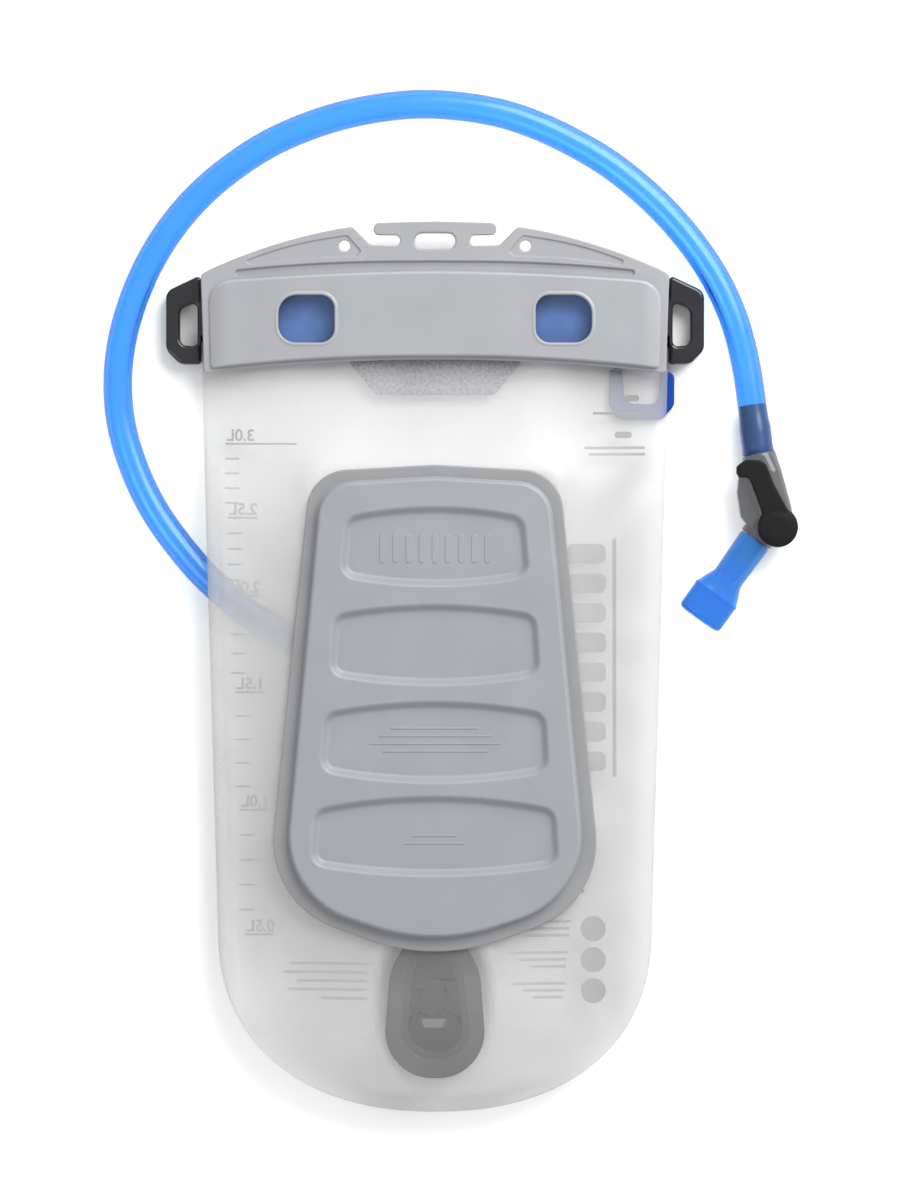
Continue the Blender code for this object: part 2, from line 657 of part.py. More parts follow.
def poppet():
    back = -168.0
    profile = [(0, 2.3), (4.4, 2.3), (4.4, 0), (1.5, 0), (1.5, -3.2), (0, -3.2)]
    obj = keep(turned("poppet", profile, (0, back, PORT_AXIS_Z), (0, 1, 0), 24), PORT_GREY)
    turns, coil_r, wire_r = 3, 2.9, 0.35
    first, last = back - 0.7, PORT_END_Y + 0.7
    points = []
    for i in range(turns * 10 + 1):
        a = math.tau * i / 10
        y = first + (last - first) * i / (turns * 10)
        points.append((coil_r * math.cos(a), y, PORT_AXIS_Z + coil_r * math.sin(a)))
    spring = keep_curve(wire("poppet_spring", points, wire_r), STEEL)
    return obj, spring


def keep_curve(obj, mat):
    PARTS.objects.link(obj)
    obj.data.materials.append(mat)
    return obj


def quick_link_plug():
    """Nose, latch groove and collar, turned about the port's axis, with a bore right through."""
    tip, collar = -165.4, TUBE_START_Y - GAP
    outside = [
        (6.7, collar), (6.7, collar - 2.4), (5.0, collar - 2.4), (5.0, LATCH_Y[1] + 0.4),
        (3.7, LATCH_Y[1] + 0.4), (3.7, LATCH_Y[0] - 0.4), (5.0, LATCH_Y[0] - 0.4),
        (5.0, PORT_STEP_Y + GAP), (3.6, PORT_STEP_Y + GAP), (3.6, -159.2), (2.75, -159.2),
        (2.75, -160.8), (3.6, -160.8), (3.6, tip + 0.4), (3.2, tip),
    ]
    profile = outside + [(2.0, tip), (2.0, collar)]
    plug = turned("quick_link_plug", profile, (0, 0, PORT_AXIS_Z), (0, 1, 0), 24, closed=True)
    seal = ring("plug_o_ring", 3.32, 0.48, (0, -160.0, PORT_AXIS_Z), (0, 1, 0))
    return keep(plug, LEVER_DARK), keep(seal, SEAL_BLACK)


def drink_tube():
    points = smooth_path(TUBE_ROUTE, 20)
    return keep_curve(wire("drink_tube", points, TUBE_R, 3), TUBE_BLUE)


# Shut-off valve and bite valve

def valve_point(place, z=VALVE_Z):
    return Vector((place[0], place[1], z))


def shutoff_body():
    top, pivot, collar = valve_point(VALVE_TOP), valve_point(PIVOT), valve_point(COLLAR)
    flow = (pivot - top).normalized()
    body = cylinder("shutoff_body", 8.6, (*PIVOT, 0.4), (*PIVOT, CHAMBER_TOP), 40)
    join(body, cylinder("inlet", VALVE_R, top, pivot - flow * 3, 36))
    elbow = collar - BITE_WAY * 9.4
    join(body, cylinder("outlet", 7.9, elbow, collar, 36))
    join(body, cylinder("nipple", 4.6, elbow, collar + BITE_WAY * 12, 24))
    cut(body, cylinder("core_bore", 5.6, (*PIVOT, 2.4), (*PIVOT, 20), 32))
    cut(body, cylinder("inlet_bore", 3.1, top - flow * 5, pivot, 20))
    cut(body, cylinder("outlet_bore", 2.9, pivot - BITE_WAY * 2, collar + BITE_WAY * 20, 20))
    return keep(body, SMOKE)


def valve_core():
    profile = [(0, 18.2), (2.6, 18.2), (2.6, 17.0), (5.3, 17.0), (5.3, 16.2), (4.0, 16.2), (4.0, 14.8)]
    profile += [(5.3, 14.8), (5.3, 2.8), (0, 2.8)]
    core = turned("valve_core", profile, (*PIVOT, 0), (0, 0, 1), 28)
    top, pivot = valve_point(VALVE_TOP), valve_point(PIVOT)
    flow = (pivot - top).normalized()
    cut(core, cylinder("flow_in", 3.0, pivot - flow * 9, pivot, 18))
    cut(core, cylinder("flow_out", 3.0, pivot, pivot + BITE_WAY * 9, 18))
    seal = ring("core_o_ring", 4.82, 0.58, (*PIVOT, 15.5), (0, 0, 1))
    return keep(core, PORT_GREY), keep(seal, SEAL_BLACK)


def shutoff_lever():
    """A disc on the valve's axis, and an arm with a thumb hook over the valve's side."""
    profile = [(3.0, LEVER_Z[1]), (8.2, LEVER_Z[1]), (9.4, LEVER_Z[1] - 1.2), (9.4, LEVER_Z[0])]
    profile += [(3.0, LEVER_Z[0])]
    lever = turned("shutoff_lever", profile, (*PIVOT, 0), (0, 0, 1), 40, closed=True)
    arm = [(149.0, 60.6, 0), (150.2, 71.0, 0), (144.0, 88.6, 3), (138.6, 88.4, 1.5), (138.7, 92.2, 3)]
    arm += [(143.4, 95.0, 2), (151.2, 94.6, 4), (155.8, 84.0, 6), (162.6, 72.0, 0), (156.6, 69.5, 0)]
    arm += [(152.6, 65.0, 0)]
    join(lever, prism("arm", [rounded(arm)], LEVER_Z[0], LEVER_Z[1] - 0.6))
    hook = [(138.8, 88.8, 0.8), (138.9, 92.2, 1), (141.0, 93.4, 0.8), (141.0, 89.2, 0.8)]
    join(lever, prism("hook", [rounded(hook, 3)], HOOK_LOW, LEVER_Z[0] + 1))
    screw_top = LEVER_Z[1] - 1.0
    screw = [(0, screw_top), (2.3, screw_top), (2.3, screw_top - 1.2), (1.2, screw_top - 1.6)]
    screw += [(1.2, 18.6), (0, 18.6)]
    pin = turned("lever_screw", screw, (*PIVOT, 0), (0, 0, 1), 20)
    return keep(lever, LEVER_DARK), keep(pin, STEEL)


def bite_valve():
    """Soft mouthpiece: a round neck that flares into a flattened head."""
    start = valve_point(COLLAR) + BITE_WAY * GAP
    sections = [
        (13.0, 4.9, 4.9), (0.0, 4.9, 4.9), (0.0, 7.6, 7.6), (22.0, 7.3, 7.3), (26.0, 9.4, 7.6),
        (30.6, 11.2, 8.0), (36.0, 11.2, 7.6), (42.0, 10.7, 6.8), (44.3, 9.6, 5.6), (45.2, 6.0, 3.0),
    ]
    return keep(loft("bite_valve", sections, start, BITE_WAY), SILICONE_BLUE)


def build():
    films()
    back_plate()
    header_panel()
    grip_tab()
    zip_strips()
    end_loop("end_loop_left", -1)
    end_loop("end_loop_right", 1)
    zip_slider()
    zip_pull()
    port_base()
    release_latch()
    poppet()
    quick_link_plug()
    drink_tube()
    shutoff_body()
    valve_core()
    shutoff_lever()
    bite_valve()


build()
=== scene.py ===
"""How the hydration bladder looks: welded films, mouldings, hose and valves round the CAD frame.

+X is the object's right seen from above, +Y runs to the header and +Z is up. Sizes are in
millimetres, and the helpers turn them into metres. Heights and places come from the CAD nodes.
"""
import math

import bmesh
import bpy
import numpy as np
from mathutils import Matrix, Vector, noise
from mathutils.bvhtree import BVHTree


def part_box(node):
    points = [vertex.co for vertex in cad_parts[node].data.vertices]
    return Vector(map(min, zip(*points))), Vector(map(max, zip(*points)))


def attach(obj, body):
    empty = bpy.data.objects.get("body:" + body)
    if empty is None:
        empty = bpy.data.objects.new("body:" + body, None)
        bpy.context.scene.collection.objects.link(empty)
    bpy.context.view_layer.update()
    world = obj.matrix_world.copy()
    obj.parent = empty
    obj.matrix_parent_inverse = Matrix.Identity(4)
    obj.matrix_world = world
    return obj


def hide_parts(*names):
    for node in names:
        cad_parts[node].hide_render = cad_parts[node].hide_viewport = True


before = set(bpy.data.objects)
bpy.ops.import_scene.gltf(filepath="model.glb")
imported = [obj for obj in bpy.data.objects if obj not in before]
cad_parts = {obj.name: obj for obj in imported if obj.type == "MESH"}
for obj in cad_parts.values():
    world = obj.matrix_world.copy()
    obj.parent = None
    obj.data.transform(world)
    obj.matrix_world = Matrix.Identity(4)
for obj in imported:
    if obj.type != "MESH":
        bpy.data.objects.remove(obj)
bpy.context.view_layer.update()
MM = 0.001
UP = Vector((0, 0, 1))
LIP_RISE = 0.35  # height of the lips round the header's windows
SHORTEST = 0.03  # outline points closer than this are one point
LEDGE = 0.1  # flat margin beyond a round edge, in a moulding's side
MARGIN = 0.15  # the same beyond a recess or a hole


def span(node):
    """Lowest and highest corner of a CAD node, in millimetres."""
    low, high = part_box(node)
    return Vector(low) / MM, Vector(high) / MM


# Sizes from the frame

HEADER_LOW, HEADER_HIGH = span("header_panel")
PLATE_LOW, PLATE_HIGH = span("back_plate")
PORT_TOP = span("port_base")[1].z
LOOP_LOW, LOOP_HIGH = span("end_loop_right")
TAB_LOW, TAB_HIGH = span("grip_tab")
LEVER_LOW, LEVER_HIGH = span("shutoff_lever")
BODY_LOW, BODY_HIGH = span("shutoff_body")
PULL_LOW, PULL_HIGH = span("pull_handle")
BAG_LOW, BAG_HIGH = span("back_film")

# Sizes of the shapes made here

SHEET_Z = HEADER_LOW.z + 3.0  # top of the header's flat sheet, under the raised pad
FLANGE_Z = PLATE_LOW.z + 2.0  # top of the back plate's flange
BAG_TOP_Y = BAG_HIGH.y
BAG_END_Y = BAG_LOW.y
BAG_BEND_Y = BAG_END_Y + 84.0  # where the straight sides turn into the round bottom
BAG_HALF_TOP = BAG_HIGH.x
BAG_HALF_BEND = 100.0
BAG_ROUND = 2.25  # exponent of the round bottom: 2 is an ellipse
FILM = 0.6  # thickness of each film, as in the CAD
FILM_GAP = 0.4  # clearance between the films at the weld, and to the plate
RIM = 3.0  # width of the weld
RIM_Z_TOP, RIM_Z = 6.6, 15.2  # height of the weld at the zip and along the sides
TUBE_R = 6.75
TUBE_BORE = 4.5  # radii, as TUBE_R is
BARB_R, BARB_BORE = 4.75, 2.6
STRETCH, RIPPLE = 0.5, 0.12  # how much the tube swells over the barb, and how unevenly
BARB_START = 18  # length of tube that is stretched over the valve's barb
PORT_AXIS_Z = 8.5  # heights of the axes of the port, tube and shut-off valve
TUBE_Z = 7.0
VALVE_Z = 9.0
ROUTE = (
    (0, -140), (0, -118), (-0.5, -96), (-4, -70), (-13, -42), (-27, -19.5), (-45, -1.5),
    (-65.8, 12), (-86, 24.2), (-105, 40.5), (-118.4, 55.7), (-129.8, 72), (-138.6, 90),
    (-144.8, 110), (-146.8, 130), (-145, 149.7), (-139.7, 169), (-131.6, 187.4),
    (-120.8, 204.3), (-107.8, 219), (-92.6, 231.6), (-76.2, 242), (-58.6, 249.8),
    (-41.2, 255.2), (-23.2, 258.6), (-5.2, 260), (13, 258.8), (31, 255.6), (48, 249.8),
    (64.4, 242), (80.2, 232.6), (94.7, 221.3), (108.2, 208.3), (120.4, 193.6),
    (130.9, 177.2), (138.8, 159), (143.8, 139.4), (146.8, 119), (149.5, 97.9),
)
ROUTE_Z = (PORT_AXIS_Z, 8.2) + (TUBE_Z,) * (len(ROUTE) - 4) + (7.8, VALVE_Z)
TUBE_ROUTE = tuple((x, y, z) for (x, y), z in zip(ROUTE, ROUTE_Z))
VALVE_TOP = Vector((149.9, 96.5, VALVE_Z))  # where the tube meets the valve
PIVOT = Vector((157.8, 64.2, VALVE_Z))  # the lever's axis
COLLAR = Vector((148.1, 58.6, VALVE_Z))  # where the bite valve starts
BITE_WAY = Vector((-0.582, -0.813, 0.0)).normalized()


# Camera, floor and light

def shown(obj):
    bpy.context.scene.collection.objects.link(obj)


CAMERA_AT = (0.0069, 0.0306, 2.32)  # in metres, like the lights' places and sizes
LIT_POINT = (0, 0, 0.02)
SURROUNDINGS = 0.77


def camera():
    """Straight above the bag, with a long lens."""
    data = bpy.data.cameras.new("camera")
    data.sensor_fit = "HORIZONTAL"
    data.sensor_width = 36
    data.lens = 200
    data.clip_end = 20
    obj = bpy.data.objects.new("camera", data)
    shown(obj)
    obj.location = CAMERA_AT
    bpy.context.scene.camera = obj


def area_light(name, place, size, power):
    data = bpy.data.lights.new(name, "AREA")
    data.shape = "DISK"
    data.size = size
    data.energy = power
    obj = bpy.data.objects.new(name, data)
    shown(obj)
    obj.location = place
    obj.rotation_euler = (Vector(LIT_POINT) - obj.location).to_track_quat("-Z", "Y").to_euler()


def studio():
    """Pale floor, bright surroundings, a broad key light from the upper right, and a weak fill."""
    bm = bmesh.new()
    bmesh.ops.create_grid(bm, x_segments=8, y_segments=8, size=3)
    floor = mesh_object("floor", bm)
    shown(floor)
    paper = plastic("floor_paper", (0.93, 0.93, 0.93), 0.9, spread=0.01, bump=0.02)
    floor.data.materials.append(paper)
    floor.location.z = -0.0005
    world = bpy.data.worlds.new("studio")
    bpy.context.scene.world = world
    world.use_nodes = True
    background = world.node_tree.nodes["Background"]
    socket(background, "Color", (1, 1, 1))
    socket(background, "Strength", SURROUNDINGS)
    area_light("key", (0.82, 1.12, 1.05), 1.5, 43)
    area_light("fill", (-1.0, -0.6, 1.4), 0.9, 4)
    bpy.context.scene.view_settings.view_transform = "Standard"


# Shapes

def mesh_object(name, bm):
    bmesh.ops.recalc_face_normals(bm, faces=bm.faces)
    mesh = bpy.data.meshes.new(name)
    bm.to_mesh(mesh)
    bm.free()
    return bpy.data.objects.new(name, mesh)


def finished(obj, mat, body, slot, *nodes, smooth=35):
    """A finished piece: its material, the body it rides on and the CAD nodes it replaces."""
    if obj.name not in bpy.context.scene.collection.objects:
        shown(obj)
    if obj.data.materials:  # clearing also forgets which face has which material
        obj.data.materials.clear()
    for each in mat if isinstance(mat, (list, tuple)) else [mat]:
        obj.data.materials.append(each)
    obj.data.shade_smooth()
    if smooth:
        obj.data.set_sharp_from_angle(angle=math.radians(smooth))
    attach(obj, body)
    if nodes:
        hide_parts(*nodes)
    return obj


def rounded(corners, steps=6):
    """A closed outline through corners (x, y, radius), each with its corner as an arc."""
    outline = []
    for i, (x, y, radius) in enumerate(corners):
        here = Vector((x, y))
        before = Vector(corners[i - 1][:2]) - here
        after = Vector(corners[(i + 1) % len(corners)][:2]) - here
        if radius <= 0:
            outline.append((x, y))
            continue
        half = before.angle(after) / 2
        reach = radius / math.tan(half)
        inwards = (before.normalized() + after.normalized()).normalized()
        middle = here + inwards * radius / math.sin(half)
        first = here + before.normalized() * reach - middle
        last = here + after.normalized() * reach - middle
        sweep = first.angle_signed(last)
        for k in range(steps + 1):
            arm = first.copy()
            arm.rotate(Matrix.Rotation(-sweep * k / steps, 2))
            outline.append(tuple(middle + arm))
    return [p for i, p in enumerate(outline) if math.dist(p, outline[i - 1]) > SHORTEST]


def both_sides(right, steps=6):
    """A rounded outline from the corners down its right side, from the top."""
    left = [(-x, y, r) for x, y, r in reversed(right) if abs(x) > 1e-6]
    return rounded(right + left, steps)


def bow(start, end, rise, steps=12):
    """Corners along a shallow arc from start to just before end, bulging to the left of its way."""
    a, b = Vector(start), Vector(end)
    left = Vector((a.y - b.y, b.x - a.x)).normalized()
    corners = []
    for i in range(steps):
        t = i / steps
        x, y = a.lerp(b, t) + left * (4 * rise * t * (1 - t))
        corners.append((x, y, 0))
    return corners


def arched(top, bottom, half_top, half_bottom, radius, steps=10):
    """A panel with arched top and bottom edges, each as (Y in the middle, Y at the ends)."""
    corners = []
    reach = 1 - (radius + 2) / half_top
    for i in range(steps):
        t = reach * i / (steps - 1)
        corners.append((half_top * t, top[0] + (top[1] - top[0]) * t * t, 0))
    corners.append((half_top, top[1], radius))
    corners.append((half_bottom, bottom[1], radius))
    for i in range(steps - 1, -1, -1):
        t = reach * i / (steps - 1)
        corners.append((half_bottom * t, bottom[0] + (bottom[1] - bottom[0]) * t * t, 0))
    return both_sides(corners, 8)


def bar_outline(centre, length, width, lean=0.0, steps=5):
    """A bar with round ends, turned by lean."""
    corners = []
    for x, y in ((1, 1), (1, -1), (-1, -1), (-1, 1)):
        corner = Vector((x * length / 2, y * width / 2))
        corner.rotate(Matrix.Rotation(lean, 2))
        corners.append((centre[0] + corner.x, centre[1] + corner.y, width * 0.499))
    return rounded(corners, steps)


def inset(outline, by):
    """The outline moved inwards by that much, point by point."""
    pts = [Vector(p) for p in outline]
    turn = 1 if sum(a.cross(b) for a, b in zip(pts, pts[1:] + pts[:1])) > 0 else -1
    moved = []
    for i, here in enumerate(pts):
        before = (here - pts[i - 1]).normalized()
        after = (pts[(i + 1) % len(pts)] - here).normalized()
        first = Vector((-before.y, before.x)) * turn
        last = Vector((-after.y, after.x)) * turn
        way = (first + last).normalized()
        moved.append(tuple(here + way * by / max(way.dot(first), 0.3)))
    return moved


def quarter(steps):
    """Sine and cosine at even steps over a quarter turn."""
    angles = [math.pi / 2 * k / steps for k in range(steps + 1)]
    return [(math.sin(a), math.cos(a)) for a in angles]


def edge_round(radius, low, high, steps=4):
    """Side of a moulding with round edges, from its lower edge up, as (inset, height)."""
    side = [(radius * (1 - s), low + radius * (1 - c)) for s, c in quarter(steps)]
    side += [(radius * (1 - c), high - radius * (1 - s)) for s, c in quarter(steps)]
    return [(radius + LEDGE, low)] + side + [(radius + LEDGE, high)]


def step_up(low, high, foot, top, steps=4):
    """Side of a raised step: a hollow round at its foot and a full one at its top."""
    side = [(-foot * (1 - s), low + foot * (1 - c)) for s, c in quarter(steps)]
    side += [(top * (1 - c), high - top * (1 - s)) for s, c in quarter(steps)]
    return [(-foot - LEDGE, low)] + side + [(top + LEDGE, high)]


def soft_wall(high, low, width, steps=8):
    """Side of a recess that eases down from high to low over a width, as (inset, height)."""
    side = [(-MARGIN, high)]
    for k in range(steps + 1):
        t = k / steps
        side.append((width * t, high + (low - high) * (1 - math.cos(math.pi * t)) / 2))
    return side + [(width + MARGIN, low)]


def hole_wall(high, low, lip=0.0, edge=0.5):
    """Side of a hole right through, from the top down, with a raised lip round its mouth."""
    mouth = -lip - edge
    side = [(mouth - MARGIN, high)]
    if lip:
        side += [(mouth, high), (mouth + 0.3, high + LIP_RISE), (-edge, high + LIP_RISE)]
        high += LIP_RISE
    else:
        side += [(-edge, high)]
    side += [(-edge * 0.3, high - edge * 0.3), (0.0, high - edge)]
    return side + [(0.0, low + edge), (-edge, low), (-edge - 0.3, low)]


def feature(outline, side, inner=(), through=False, tint=0, rim=None):
    """tint is the material of the feature's floor, and rim is that of its side."""
    rim = tint if rim is None else rim
    return {"outline": outline, "side": side, "inner": inner, "through": through,
            "tint": tint, "rim": rim}


def loop_of(bm, outline, z):
    return [bm.verts.new((x * MM, y * MM, z * MM)) for x, y in outline]


def bridge(bm, loops, tint=0):
    for first, second in zip(loops, loops[1:]):
        for i in range(len(first)):
            face = bm.faces.new((first[i - 1], first[i], second[i], second[i - 1]))
            face.material_index = tint


def cap(bm, loops, tint=0):
    edges = []
    for loop in loops:
        for pair in zip([loop[-1]] + loop, loop):
            edges.append(bm.edges.get(pair) or bm.edges.new(pair))
    made = bmesh.ops.triangle_fill(bm, use_beauty=True, use_dissolve=False, edges=edges)
    for item in made["geom"]:
        if isinstance(item, bmesh.types.BMFace):
            item.material_index = tint


def add_feature(bm, part, bottoms):
    loops = [loop_of(bm, inset(part["outline"], by), z) for by, z in part["side"]]
    bridge(bm, loops, part["rim"])
    if part["through"]:
        bottoms.append(loops[-1])
    else:
        inner = [add_feature(bm, each, bottoms) for each in part["inner"]]
        cap(bm, [loops[-1]] + inner, part["tint"])
    return loops[0]


def moulded(name, outline, side, features=()):
    """A moulded solid. Its side runs from the bottom up as (inset, height). Each feature on its top
    is a recess, a raised step or a hole right through, with its own side and features."""
    bm = bmesh.new()
    loops = [loop_of(bm, inset(outline, by), z) for by, z in side]
    bridge(bm, loops)
    bottoms = []
    tops = [add_feature(bm, each, bottoms) for each in features]
    cap(bm, [loops[-1]] + tops)
    cap(bm, [loops[0]] + bottoms)
    return mesh_object(name, bm)


def slice_across(bm, axis, places, near=0.0):
    """Cuts along planes across an axis, so that the mesh can bend there."""
    normal = Vector((0, 0, 0))
    normal[axis] = 1
    for place in places:
        everything = bm.verts[:] + bm.edges[:] + bm.faces[:]
        bmesh.ops.bisect_plane(
            bm, geom=everything, plane_co=normal * place * MM, plane_no=normal, dist=near)


def sliced(obj, axis, places):
    bm = bmesh.new()
    bm.from_mesh(obj.data)
    slice_across(bm, axis, places, 1e-7)
    bm.to_mesh(obj.data)
    bm.free()
    return obj


def moved(obj, shift):
    """Every point of the mesh moved by shift(x, y, z), in millimetres."""
    for v in obj.data.vertices:
        v.co = Vector(shift(*(v.co / MM))) * MM
    return obj


def turned(name, profile, start, way, sides=48):
    """A closed profile of (radius, distance) turned about an axis. Radius 0 closes it."""
    turn = Vector(way).to_track_quat("Z", "Y").to_matrix()
    bm = bmesh.new()
    rings = []
    for radius, distance in profile:
        ring = []
        for i in range(sides if radius > 0 else 1):
            a = math.tau * i / sides
            point = Vector((radius * math.cos(a), radius * math.sin(a), distance))
            ring.append(bm.verts.new((Vector(start) + turn @ point) * MM))
        rings.append(ring)
    for a, b in zip(rings, rings[1:]):
        for i in range(sides):
            j = (i + 1) % sides
            corners = [a[i % len(a)], a[j % len(a)], b[j % len(b)], b[i % len(b)]]
            bm.faces.new(list(dict.fromkeys(corners)))
    return mesh_object(name, bm)


def smooth_path(points, spacing):
    """Points at an even spacing on a smooth curve through the given ones."""
    pts = [Vector(p) for p in points]
    pts = [pts[0] * 2 - pts[1]] + pts + [pts[-1] * 2 - pts[-2]]
    fine = []
    for a, b, c, d in zip(pts, pts[1:], pts[2:], pts[3:]):
        for i in range(12):
            t = i / 12
            fine.append(0.5 * (2 * b + (c - a) * t + (2 * a - 5 * b + 4 * c - d) * t ** 2
                               + (3 * b - a - 3 * c + d) * t ** 3))
    fine.append(pts[-2])
    steps = [(q - p).length for p, q in zip(fine, fine[1:])]
    run = np.concatenate(([0.0], np.cumsum(steps)))
    count = round(run[-1] / spacing)
    at = np.linspace(0, run[-1], count + 1)
    columns = [np.interp(at, run, [p[k] for p in fine]) for k in range(3)]
    return [Vector(p) for p in zip(*columns)]


def pipe(name, path, outer, bore, sides=40):
    """A hollow pipe along a path. outer and bore give its radii at each point; bore 0 is solid."""
    bm = bmesh.new()
    skins = []
    for radius in (outer, bore):
        rings = []
        for i, here in enumerate(path):
            way = (path[min(i + 1, len(path) - 1)] - path[max(i - 1, 0)]).normalized()
            across = way.cross(UP).normalized()
            up = across.cross(way)
            ring = []
            for k in range(sides):
                a = math.tau * k / sides
                arm = across * math.cos(a) + up * math.sin(a)
                ring.append(bm.verts.new((here + arm * radius(i)) * MM))
            rings.append(ring)
        bridge(bm, rings)
        skins.append(rings)
    for end in (0, -1):
        bridge(bm, [rings[end] for rings in skins])
    return mesh_object(name, bm)


def loft(name, sections, start, way, sides=48):
    """Sections (distance, half width, half height, squareness) along an axis, closed by caps."""
    way = Vector(way).normalized()
    across = way.cross(UP).normalized()
    bm = bmesh.new()
    rings = []
    for distance, wide, high, square in sections:
        centre = Vector(start) + way * distance
        ring = []
        for i in range(sides):
            a = math.tau * i / sides
            c, s = math.cos(a), math.sin(a)
            swell = (abs(c) ** square + abs(s) ** square) ** (-1 / square)
            point = centre + across * wide * c * swell + Vector((0, 0, high * s * swell))
            ring.append(bm.verts.new(point * MM))
        rings.append(ring)
    bridge(bm, rings)
    bm.faces.new(rings[0])
    bm.faces.new(rings[-1])
    return mesh_object(name, bm)


def fused(name, solids, voxel, relax=3):
    """Overlapping solids joined into one moulding, with their corners softened."""
    bm = bmesh.new()
    for solid in solids:
        bm.from_mesh(solid.data)
        bpy.data.objects.remove(solid, do_unlink=True)
    base = mesh_object(name, bm)
    remesh = base.modifiers.new("remesh", "REMESH")
    remesh.mode = "VOXEL"
    remesh.voxel_size = voxel * MM
    soften = base.modifiers.new("soften", "SMOOTH")
    soften.factor = 0.5
    soften.iterations = relax
    return applied(base)


def cut(base, *cutters):
    """The solid with the cutters taken out of it."""
    for cutter in cutters:
        shown(cutter)
        step = base.modifiers.new(cutter.name, "BOOLEAN")
        step.operation = "DIFFERENCE"
        step.solver = "EXACT"
        step.object = cutter
    applied(base)
    for cutter in cutters:
        bpy.data.objects.remove(cutter, do_unlink=True)
    return base


def evaluated(obj):
    """The mesh of an object after its modifiers, or that of a text."""
    shown(obj)
    graph = bpy.context.evaluated_depsgraph_get()
    return bpy.data.meshes.new_from_object(obj.evaluated_get(graph))


def applied(base):
    """The object with its modifiers applied to its mesh."""
    mesh = evaluated(base)
    base.modifiers.clear()
    base.data = mesh
    return base


# Materials

def socket(node, name, value):
    node.inputs[name].default_value = (*value, 1.0) if isinstance(value, tuple) else value


def noise_value(nodes, links, coords, scale, detail=3.0):
    """A noise texture's value at the object's own coordinates."""
    tex = nodes.new("ShaderNodeTexNoise")
    socket(tex, "Scale", scale)
    socket(tex, "Detail", detail)
    links.new(coords, tex.inputs["Vector"])
    return tex.outputs["Fac"]


def ranged(nodes, links, value, low, high, start=0.3, end=0.7):
    """A value that runs from low to high while the given one runs from start to end."""
    scaled = nodes.new("ShaderNodeMapRange")
    for name, number in (("From Min", start), ("From Max", end), ("To Min", low), ("To Max", high)):
        socket(scaled, name, number)
    links.new(value, scaled.inputs["Value"])
    return scaled.outputs["Result"]


def calculated(nodes, links, operation, *values):
    """The output of one Math node."""
    step = nodes.new("ShaderNodeMath")
    step.operation = operation
    for place, value in enumerate(values):
        if isinstance(value, float):
            step.inputs[place].default_value = value
        else:
            links.new(value, step.inputs[place])
    return step.outputs[0]


def mixed(nodes, links, factor, first, second, blend="MIX"):
    """The output of one colour Mix node, from sockets, colours and numbers."""
    mix = nodes.new("ShaderNodeMix")
    mix.data_type = "RGBA"
    mix.blend_type = blend
    for place, value in ((0, factor), (6, first), (7, second)):
        if isinstance(value, bpy.types.NodeSocket):
            links.new(value, mix.inputs[place])
        else:
            mix.inputs[place].default_value = value
    return mix.outputs[2]


FLECK_SCALE = 700
FLECK_RANGE = (0.43, 0.57)  # the part of the noise that runs from dark to light flecks


def plastic(name, colour, rough, spread=0.05, rough_spread=0.05, patch=45, grain=1800, bump=0.06,
            grain_depth=0.00006, speckle=0.0, lamp=None, **settings):
    """A moulded plastic: slow colour drift, fine moulded grain, and uneven gloss. speckle mixes in
    dark and light flecks, and lamp is the tint of the light that passes a see-through one."""
    mat = bpy.data.materials.new(name)
    mat.use_nodes = True
    nodes, links = mat.node_tree.nodes, mat.node_tree.links
    shader = nodes["Principled BSDF"]
    coords = nodes.new("ShaderNodeTexCoord").outputs["Object"]
    drift = noise_value(nodes, links, coords, patch)
    fine = noise_value(nodes, links, coords, grain, 4.0)
    darker = (*[c * (1 - spread) for c in colour], 1)
    lighter = (*[min(c * (1 + spread), 1) for c in colour], 1)
    result = mixed(nodes, links, ranged(nodes, links, drift, 0, 1), darker, lighter)
    if speckle:
        flecks = noise_value(nodes, links, coords, FLECK_SCALE, 2.0)
        flecks = ranged(nodes, links, flecks, 0, 1, *FLECK_RANGE)
        shades = mixed(nodes, links, flecks, (1 - speckle,) * 3 + (1,), (1 + speckle,) * 3 + (1,))
        result = mixed(nodes, links, 1.0, result, shades, "MULTIPLY")
    links.new(result, shader.inputs["Base Color"])
    gloss = ranged(nodes, links, drift, rough - rough_spread, rough + rough_spread)
    links.new(gloss, shader.inputs["Roughness"])
    relief = nodes.new("ShaderNodeBump")
    socket(relief, "Strength", bump)
    socket(relief, "Distance", grain_depth)
    links.new(fine, relief.inputs["Height"])
    links.new(relief.outputs["Normal"], shader.inputs["Normal"])
    for key, value in settings.items():
        socket(shader, key.replace("_", " "), value)
    if lamp:
        lets_lamps_through(nodes, links, shader, lamp)
    return mat


def but_for_soft_rays(nodes, links, shader, instead=None):
    """The shader, with another or none for lamps and for light from matt surfaces."""
    path = nodes.new("ShaderNodeLightPath")
    for ray in ("Is Shadow Ray", "Is Diffuse Ray"):
        mix = nodes.new("ShaderNodeMixShader")
        links.new(path.outputs[ray], mix.inputs[0])
        links.new(shader, mix.inputs[1])
        if instead is not None:
            links.new(instead, mix.inputs[2])
        shader = mix.outputs[0]
    return shader


def lets_lamps_through(nodes, links, shader, tint):
    """Lamps and light from matt surfaces pass straight through, tinted."""
    clear = nodes.new("ShaderNodeBsdfTransparent")
    socket(clear, "Color", tint)
    last = but_for_soft_rays(nodes, links, shader.outputs[0], clear.outputs[0])
    links.new(last, nodes["Material Output"].inputs["Surface"])


